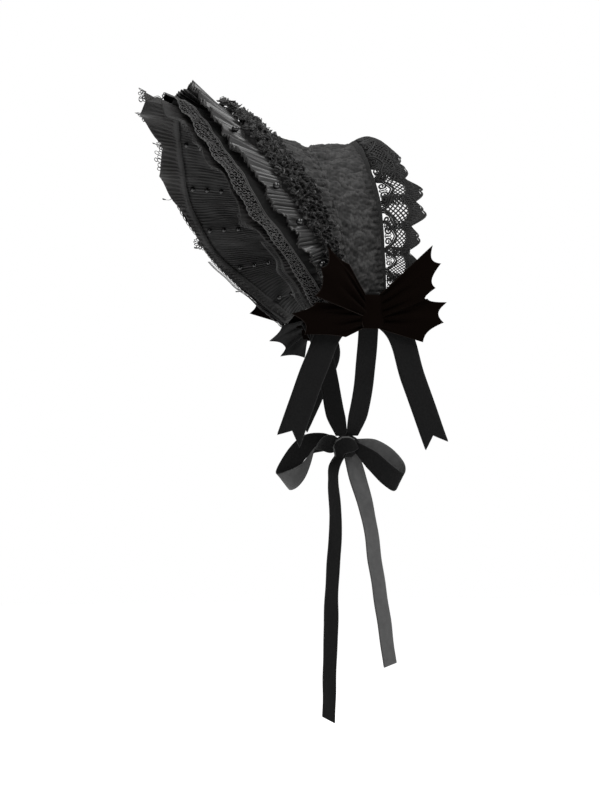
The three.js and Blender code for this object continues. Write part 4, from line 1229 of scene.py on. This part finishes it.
velvet = shader("velvet", (0.0017, 0.0009, 0.0006), 1.0, 0.015, sheen=0.005, sheen_color=(0.8, 0.55, 0.45))
add_weave(velvet, 2200, 0.0002, 0.4)
ribbon_face = shader("ribbon_face", (0.005, 0.005, 0.0051), 0.9, 0.08, sheen=0.015)
add_weave(ribbon_face, 1900, 0.0002, 0.5)
ribbon_reverse = shader("ribbon_reverse", (0.04, 0.04, 0.04), 0.6, 0.25, sheen=0.05)
add_weave(ribbon_reverse, 1900, 0.0002, 0.5)
mix_color(ribbon_reverse, cloudy(ribbon_reverse, 160, 4), (0.026, 0.026, 0.026), (0.054, 0.054, 0.054))
mix_color(ribbon_face, cloudy(ribbon_face, 600, 3), (0.0008, 0.0008, 0.0008), (0.0064, 0.0064, 0.0065))
# The velvet's reverse, lighter than its face. Part of the lightness is painted light, for the shade the one
# wing it covers hangs in.
velvet_reverse_painted_lighter = shader("velvet_reverse_painted_lighter", (0.012, 0.012, 0.012), 0.8, 0.2, sheen=0.03)
add_weave(velvet_reverse_painted_lighter, 1900, 0.0002, 0.5)
# Painted highlight: a lighter, brownish colour for the cords that stand for light caught on the velvet's
# edges.
velvet_painted_highlight = shader("velvet_painted_highlight", (0.007, 0.0045, 0.0035), 0.8, 0.1)


def beside_knot(side, rear_up_out):
    """Sets places beside the left knot, or the right one where side is -1, on the bonnet."""
    rear, up, out = np.moveaxis(np.asarray(rear_up_out, float) / 1000, -1, 0)
    return np.stack([side * (BOW_CENTRE[0] + out), BOW_CENTRE[1] + rear, BOW_CENTRE[2] + up], axis=-1)


def flat_fan(places):
    """A fan laid flat: each place's way along its radius, turned by how far it lies round the fan."""
    radius = np.linalg.norm(np.diff(places, axis=0), axis=-1)
    radius = np.vstack([np.zeros(places.shape[1]), np.cumsum(radius, axis=0)]) + 0.012
    round_end = np.append(0, np.cumsum(np.linalg.norm(np.diff(places[-1], axis=0), axis=-1)))
    angle = round_end / radius[-1].mean()
    return np.stack([radius * np.sin(angle), radius * np.cos(angle)], axis=-1)


def cut_edge(places):
    """The free edge of a grid of places: along its first side, its end and back along its last side."""
    return np.vstack([places[:, 0], places[-1, 1:], places[-2::-1, -1]])


def wing(name, side, root, tips, seed, face):
    """A fan from its root in the knot to its pointed tips. seed shifts its folds."""
    u = np.linspace(0, 1, 25)[:, None]
    v = np.linspace(0, 1, 73)[None, :]
    place = v * (len(tips) - 1)
    k = np.minimum(np.floor(place), len(tips) - 2).astype(int)
    part = place - k
    tips = beside_knot(side, tips)
    root = beside_knot(side, root)
    edge = tips[k] + (tips[k + 1] - tips[k]) * part[..., None]
    start = root[0] + (root[1] - root[0]) * v[..., None]
    hollow = WING_SCALLOP * np.sin(np.pi * part) ** 0.8
    reach = (u * (1 - hollow))[..., None]
    places = start + (edge - start) * reach
    flare = fade(u, 0.0, 0.15)
    gathers = np.cos(2 * np.pi * (v * 3.5 + 0.1 * seed)) * (1 - fade(u, 0.1, 0.95))
    folds = 0.0026 * gathers * (0.4 + 0.6 * flare)
    waves = 0.0015 * np.sin(2 * np.pi * (1.5 * v + 0.17 * seed)) * fade(u, 0.3, 1.0)
    puff = 0.004 * np.sin(np.pi * u) * np.sin(np.pi * v)
    places[..., 0] += side * (puff + folds + waves)
    flat = flat_fan(places)
    fan = cloth(f"{name}_velvet", places, flat, VELVET_WALL, [face])
    # The lighter cord round the cut edge is a painted highlight.
    wing_edge_highlight = cord(f"{name}_edge", cut_edge(places), VELVET_CORD, [velvet_painted_highlight], 5)
    for piece in (fan, wing_edge_highlight):
        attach(piece, "root")
    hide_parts(name)


for side_name, side in (("left", 1), ("right", -1)):
    for seed, row in enumerate(WINGS):
        tips = HANGING_TIPS.get(row["name"], row["tips"]) if side < 0 else row["tips"]
        # The right bow's lower front wing shows its lighter reverse, partly painted light for the shade it
        # hangs in.
        face = velvet_reverse_painted_lighter if side < 0 and row["name"] == "front_lower" else velvet
        wing(f"{side_name}_bow_wing_{row['name']}", side, row["root"], tips, seed, face)

# The bows' knots
# A band of velvet wrapped round the roots of the wings, with soft folds down its length. A lighter cord
# along its front edge is a painted highlight.
for side_name, side in (("left", 1), ("right", -1)):
    bpy.ops.mesh.primitive_cylinder_add(vertices=72, radius=0.5, depth=1)
    knot = bpy.context.object
    knot.name = f"{side_name}_bow_knot_band"
    bpy.ops.object.mode_set(mode="EDIT")
    bpy.ops.mesh.select_all(action="SELECT")
    bpy.ops.mesh.bisect(plane_co=(0, 0, 0), plane_no=(0, 0, 1))
    for level in np.linspace(-0.45, 0.45, 19):
        bpy.ops.mesh.select_all(action="SELECT")
        bpy.ops.mesh.bisect(plane_co=(0, 0, float(level)), plane_no=(0, 0, 1))
    bpy.ops.object.mode_set(mode="OBJECT")
    for corner in knot.data.vertices:
        x, y, z = corner.co
        angle = np.arctan2(y, x)
        crease = 0.05 * np.sin(5 * angle + 2.5 * z) * np.cos(np.pi * z * 0.6)
        swell = 1 - 0.35 * abs(2 * z) ** 6 + crease
        corner.co = (
            side * BOW_CENTRE[0] + x * swell * BOW_KNOT["thickness"] / 1000,
            BOW_CENTRE[1] + y * swell * BOW_KNOT["width"] / 1000,
            BOW_CENTRE[2] + z * BOW_KNOT["height"] / 1000,
        )
    knot.data.materials.append(velvet)
    bpy.ops.object.shade_smooth()
    up = np.linspace(-0.46, 0.46, 24)
    line = np.stack(
        [
            np.full(24, side * (BOW_CENTRE[0] + 0.0022)),
            BOW_CENTRE[1] - 0.0122 + 0.002 * (2 * up) ** 4,
            BOW_CENTRE[2] + up * BOW_KNOT["height"] / 1000,
        ],
        axis=-1,
    )
    # A painted highlight along the knot's front edge.
    knot_line = cord(f"{side_name}_bow_knot_edge", line, 0.0004, [velvet_painted_highlight], 5)
    for piece in (knot, knot_line):
        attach(piece, "root")
    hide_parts(f"{side_name}_bow_knot")

# The bows' tails
# Two velvet ribbons hang from behind each knot and end in swallowtails. The reverse of the ribbon is lighter.
TAIL_WIDTH = 28
TAIL_NOTCH = 0.012
RIBBON_WALL = 0.0008
RIBBON_SWAY = 0.0006
RIBBON_STEP = 0.0018
EDGE_HIGHLIGHT_RADIUS = 0.00045
BOW_TAILS = {
    "left": [
        {
            "name": "front",
            "lean": 28,
            "path": [[-6, -4, -5.6], [-40, -16, -5.6], [-62, -58, -4], [-95, -139, 2]],
        },
        {
            "name": "rear",
            "lean": -20,
            "path": [[12, -4, -7.4], [33, -20, -7.4], [50, -72, -4], [75, -142, 0]],
        },
    ],
    "right": [
        {
            "name": "front",
            "lean": 22,
            "path": [[-4, -4, -5.6], [8, -29, -5.6], [-2, -66, -4], [-29, -128, 2]],
        },
        {
            "name": "rear",
            "lean": 20,
            "path": [[12, -6, -7.4], [16, -29, -7.4], [1, -66, -8], [-24, -118, -8]],
        },
    ],
}
# Painted highlight: the lighter cord along each ribbon's edges stands for the light caught there.
ribbon_painted_highlight = shader("ribbon_painted_highlight", (0.012, 0.012, 0.012), 0.7, 0.2)


FOLLOW_STEPS = 30


def follow(knots):
    """Places along a smooth line through knots, the same number between each two of them."""
    knots = np.asarray(knots, float) * 1000
    knots = np.vstack([2 * knots[0] - knots[1], knots, 2 * knots[-1] - knots[-2]])
    t = np.linspace(0, 1, FOLLOW_STEPS, endpoint=False)[:, None]
    pieces = []
    for before, start, end, after in zip(knots, knots[1:], knots[2:], knots[3:]):
        spans = ((before, start), (start, end), (end, after))
        first, middle, last = (np.linalg.norm(b - a) ** 0.5 for a, b in spans)
        middle = middle if middle > 1e-4 else 1.0
        first = first if first > 1e-4 else middle
        last = last if last > 1e-4 else middle
        leave = (start - before) / first - (end - before) / (first + middle) + (end - start) / middle
        arrive = (end - start) / middle - (after - start) / (middle + last) + (after - end) / last
        leave = leave * middle
        arrive = arrive * middle
        bend = 3 * (end - start) - 2 * leave - arrive
        pieces.append(start + leave * t + bend * t**2 + (leave + arrive - 2 * (end - start)) * t**3)
    return np.vstack([*pieces, knots[-2:-1]]) / 1000


def ribbon(name, path, across, materials, notch=0.0, seed=0):
    """A ribbon along path, as wide as across is long and turned its way, its end cut in by notch."""
    line = follow(path)
    turn = follow(across)
    run = np.append(0, np.cumsum(np.linalg.norm(np.diff(line, axis=0), axis=1)))
    u = np.linspace(0, 1, int(run[-1] / RIBBON_STEP))[:, None]
    share = np.linspace(-0.5, 0.5, 11)[None, :]
    cut = 1 - notch / run[-1] * (1 - 2 * np.abs(share))
    place = u * cut * run[-1]

    def at(source, where):
        return np.stack([np.interp(where, run, source[:, axis]) for axis in range(3)], axis=-1)

    middle = at(line, place)
    side = at(turn, place)
    way = at(line, np.minimum(place + 0.001, run[-1])) - at(line, np.maximum(place - 0.001, 0))
    out = np.cross(way, side)
    out /= np.maximum(np.linalg.norm(out, axis=-1, keepdims=True), 1e-12)
    ruck = RIBBON_SWAY * crumple(place, share * 0.02, 0.05, 50 + seed) * (0.3 + 0.7 * fade(place, 0.0, 0.02))
    places = middle + side * share[..., None] + out * ruck[..., None]
    width = float(np.linalg.norm(np.asarray(across), axis=1).max())
    flat = np.stack(np.broadcast_arrays(share * width, place), axis=-1)
    band = cloth(name, places, flat, RIBBON_WALL, materials)
    # A lighter cord along the ribbon's cut edges, a painted highlight.
    ribbon_edge_highlight = cord(f"{name}_selvedge", cut_edge(places), EDGE_HIGHLIGHT_RADIUS, [ribbon_painted_highlight], 5)
    for piece in (band, ribbon_edge_highlight):
        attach(piece, "root")
    return band, width, float(run[-1])


for side_name, side in (("left", 1), ("right", -1)):
    for seed, row in enumerate(BOW_TAILS[side_name]):
        angle = np.radians(row["lean"])
        across = np.array((0, np.cos(angle), -np.sin(angle))) * TAIL_WIDTH / 1000
        path = beside_knot(side, row["path"])
        node = f"{side_name}_bow_tail_{row['name']}"
        tail, width, length = ribbon(
            f"{node}_ribbon", path, np.tile(across, (len(path), 1)), [ribbon_face], TAIL_NOTCH, seed=seed
        )
        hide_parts(node)

# The ties
# A velvet ribbon comes down from each ear to the bow below the chin. The bow's loops and tails show the
# ribbon's lighter reverse where they turn over.
TIE_WIDTH = 22
TIE_KNOT = np.array((0, 0.014, -0.325))
TIE_KNOT_RADII = (14, 10, 13)
TIE_BOW_TURN = np.radians(70)
# Each row is a place on the left tie in mm, how far the two ties part there, and its share of the width.
TIE_ROWS = [
    {"at": (79.5, 9, -164), "parting": 0, "share": 1},
    {"at": (79.5, 9, -184), "parting": 0, "share": 1},
    {"at": (65, 12, -222), "parting": 0, "share": 1},
    {"at": (43, 14, -259), "parting": 3, "share": 1},
    {"at": (21, 14, -292), "parting": 5, "share": 1},
    {"at": (6, 14, -314), "parting": 4, "share": 0.6},
]
# Each row is a place beside the tie's knot in mm, before the bow is turned, with the way across the ribbon
# there and its share of the width.
TIE_PIECES = [
    {
        "name": "tie_loop_front",
        "rows": [
            {"at": [-9, -5, 2], "across": [0, 0, -1], "share": 0.5},
            {"at": [-27, -9, 4], "across": [0, -0.1, -1], "share": 0.9},
            {"at": [-44, -10, 1], "across": [0.3, 0, -0.95], "share": 1},
            {"at": [-58, -8, -13], "across": [0.58, 0, -0.81], "share": 1},
            {"at": [-71, -1, -39], "across": [0.66, 0, -0.75], "share": 1},
            {"at": [-60, 9, -37], "across": [0.4, 0.3, -0.86], "share": 1},
            {"at": [-49.5, 12, -29], "across": [0.2, 0.66, -0.72], "share": 1},
            {"at": [-42, 12, -17], "across": [0.1, 0.9, -0.43], "share": 1},
            {"at": [-35, 11, -3], "across": [0.05, 1, 0.1], "share": 1},
            {"at": [-27, 10, 2], "across": [0.1, 0.75, 0.66], "share": 1},
            {"at": [-17, 8, 1.5], "across": [0.1, 0.3, 0.95], "share": 0.9},
            {"at": [-8, 4, 1], "across": [0, 0, 1], "share": 0.5},
        ],
    },
    {
        "name": "tie_loop_rear",
        "rows": [
            {"at": [9, 5, -1], "across": [0.2, 0, 1], "share": 0.5},
            {"at": [28, 10, -17], "across": [0.55, 0, 0.83], "share": 0.9},
            {"at": [45, 9, -33], "across": [0.55, 0, 0.83], "share": 1},
            {"at": [57, 1, -40], "across": [0.5, 0, 0.86], "share": 1},
            {"at": [60, -8, -31], "across": [0.35, 0, 0.93], "share": 1},
            {"at": [48, -12, -15], "across": [0.3, 0, 0.95], "share": 1},
            {"at": [30, -10, -3], "across": [0.2, 0, 1], "share": 0.9},
            {"at": [9, -4, 2], "across": [0.2, 0, 1], "share": 0.5},
        ],
    },
    {
        "name": "tie_tail_front",
        "rows": [
            {"at": [-4, 5, -6], "across": [1, 0.1, 0], "share": 0.5},
            {"at": [-14, 12, -23], "across": [0.6, 0.8, 0], "share": 0.9},
            {"at": [-15.5, 13, -39], "across": [0.46, 0.89, 0], "share": 1},
            {"at": [-12.5, 14, -84], "across": [0.6, 0.8, 0], "share": 1},
            {"at": [-15.5, 14, -129], "across": [0.64, 0.77, 0], "share": 1},
            {"at": [-18, 12, -196], "across": [0.65, 0.76, 0], "share": 1},
            {"at": [-20.5, 10, -299], "across": [0.62, 0.75, -0.25], "share": 1},
        ],
    },
    {
        "name": "tie_tail_rear",
        "rows": [
            {"at": [4, -3, -6], "across": [1, -0.1, 0], "share": 0.75},
            {"at": [12.5, -5, -37], "across": [0.85, -0.5, 0.1], "share": 1},
            {"at": [25, -6, -84], "across": [0.68, -0.73, 0.1], "share": 1},
            {"at": [31, -7, -129], "across": [0.68, -0.73, 0.1], "share": 1},
            {"at": [38, -8, -174], "across": [0.68, -0.73, 0.1], "share": 1},
            {"at": [47.5, -9, -241], "across": [0.68, -0.73, 0.2], "share": 1},
        ],
    },
]


def in_tie_bow(places):
    """Turns places in the tie's bow, or ways across it, as the bow is turned below the chin."""
    r, b, z = np.moveaxis(np.asarray(places, float), -1, 0)
    cos, sin = np.cos(TIE_BOW_TURN), np.sin(TIE_BOW_TURN)
    return np.stack([r * cos + b * sin, r * sin - b * cos, z], axis=-1)


for side_name, side in (("left", 1), ("right", -1)):
    path = np.array([row["at"] for row in TIE_ROWS]) * (side, 1, 1) / 1000
    path[:, 1] += side * np.array([row["parting"] for row in TIE_ROWS]) / 1000
    widths = np.array([row["share"] for row in TIE_ROWS]) * TIE_WIDTH / 1000
    across = np.stack([0 * widths, widths, 0 * widths], axis=-1)
    tie, width, length = ribbon(f"{side_name}_tie_ribbon", path, across, [ribbon_face], seed=7 + side)
    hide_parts(f"{side_name}_tie")

for seed, row in enumerate(TIE_PIECES):
    at = np.array([entry["at"] for entry in row["rows"]])
    across = np.array([entry["across"] for entry in row["rows"]])
    shares = np.array([entry["share"] for entry in row["rows"]])[:, None]
    across = across / np.linalg.norm(across, axis=1, keepdims=True) * shares * TIE_WIDTH / 1000
    path = in_tie_bow(at) / 1000 + TIE_KNOT
    materials = [ribbon_face, ribbon_reverse]
    if row["name"] == "tie_tail_rear":
        materials.reverse()
    band, width, length = ribbon(f"{row['name']}_ribbon", path, in_tie_bow(across), materials, seed=20 + seed)
    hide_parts(row["name"])

# The tie's knot
# The ribbon wrapped once round the middle of the bow, with creases that run round it. Its end crosses in
# front of the knot, and its upper edge turns over and shows the lighter reverse.
WRAP_CORD = 0.0011
# Places along the wrap's upper edge beside the knot's middle, and the way across it to its lower edge, in mm.
WRAP_ROWS = [
    {"edge": (-19, 5, -24), "across": (8, 4, 1)},
    {"edge": (-13, 8, -11), "across": (9, 5, -1)},
    {"edge": (-15, 10, -2), "across": (12, 4, -8)},
    {"edge": (-12, 12, 5), "across": (14, 3, -13)},
    {"edge": (-5, 13, 9), "across": (12, 1, -16)},
    {"edge": (2, 12, 9), "across": (8, 0, -14)},
    {"edge": (8, 8, 6), "across": (4, 0, -9)},
]
bpy.ops.mesh.primitive_uv_sphere_add(segments=40, ring_count=24, radius=1)
tie_knot = bpy.context.object
tie_knot.name = "tie_knot_wrap"
for corner in tie_knot.data.vertices:
    r, b, z = corner.co
    angle = np.arctan2(z, b)
    crease = 0.05 * np.sin(7 * r + 1.2 * np.sin(angle)) + 0.03 * np.sin(13 * r + 2 * angle)
    swell = 1 + crease * (1 - abs(r) ** 4)
    stretched = np.array((r * (1 - 0.06 * abs(z)), b * swell, z * swell)) * TIE_KNOT_RADII
    corner.co = in_tie_bow(stretched) / 1000 + TIE_KNOT
tie_knot.data.materials.append(ribbon_face)
turn_outward()
bpy.ops.object.shade_smooth()
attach(tie_knot, "root")
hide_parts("tie_knot")

wrap_edge = np.array([row["edge"] for row in WRAP_ROWS])
wrap_across = np.array([row["across"] for row in WRAP_ROWS])
wrap, width, length = ribbon(
    "tie_knot_wrap_ribbon",
    in_tie_bow(wrap_edge + wrap_across / 2) / 1000 + TIE_KNOT,
    in_tie_bow(wrap_across) / 1000,
    [ribbon_face],
    seed=30,
)
turned_edge = cord("tie_knot_wrap_edge", in_tie_bow(wrap_edge) / 1000 + TIE_KNOT, WRAP_CORD, [ribbon_reverse])
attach(turned_edge, "root")
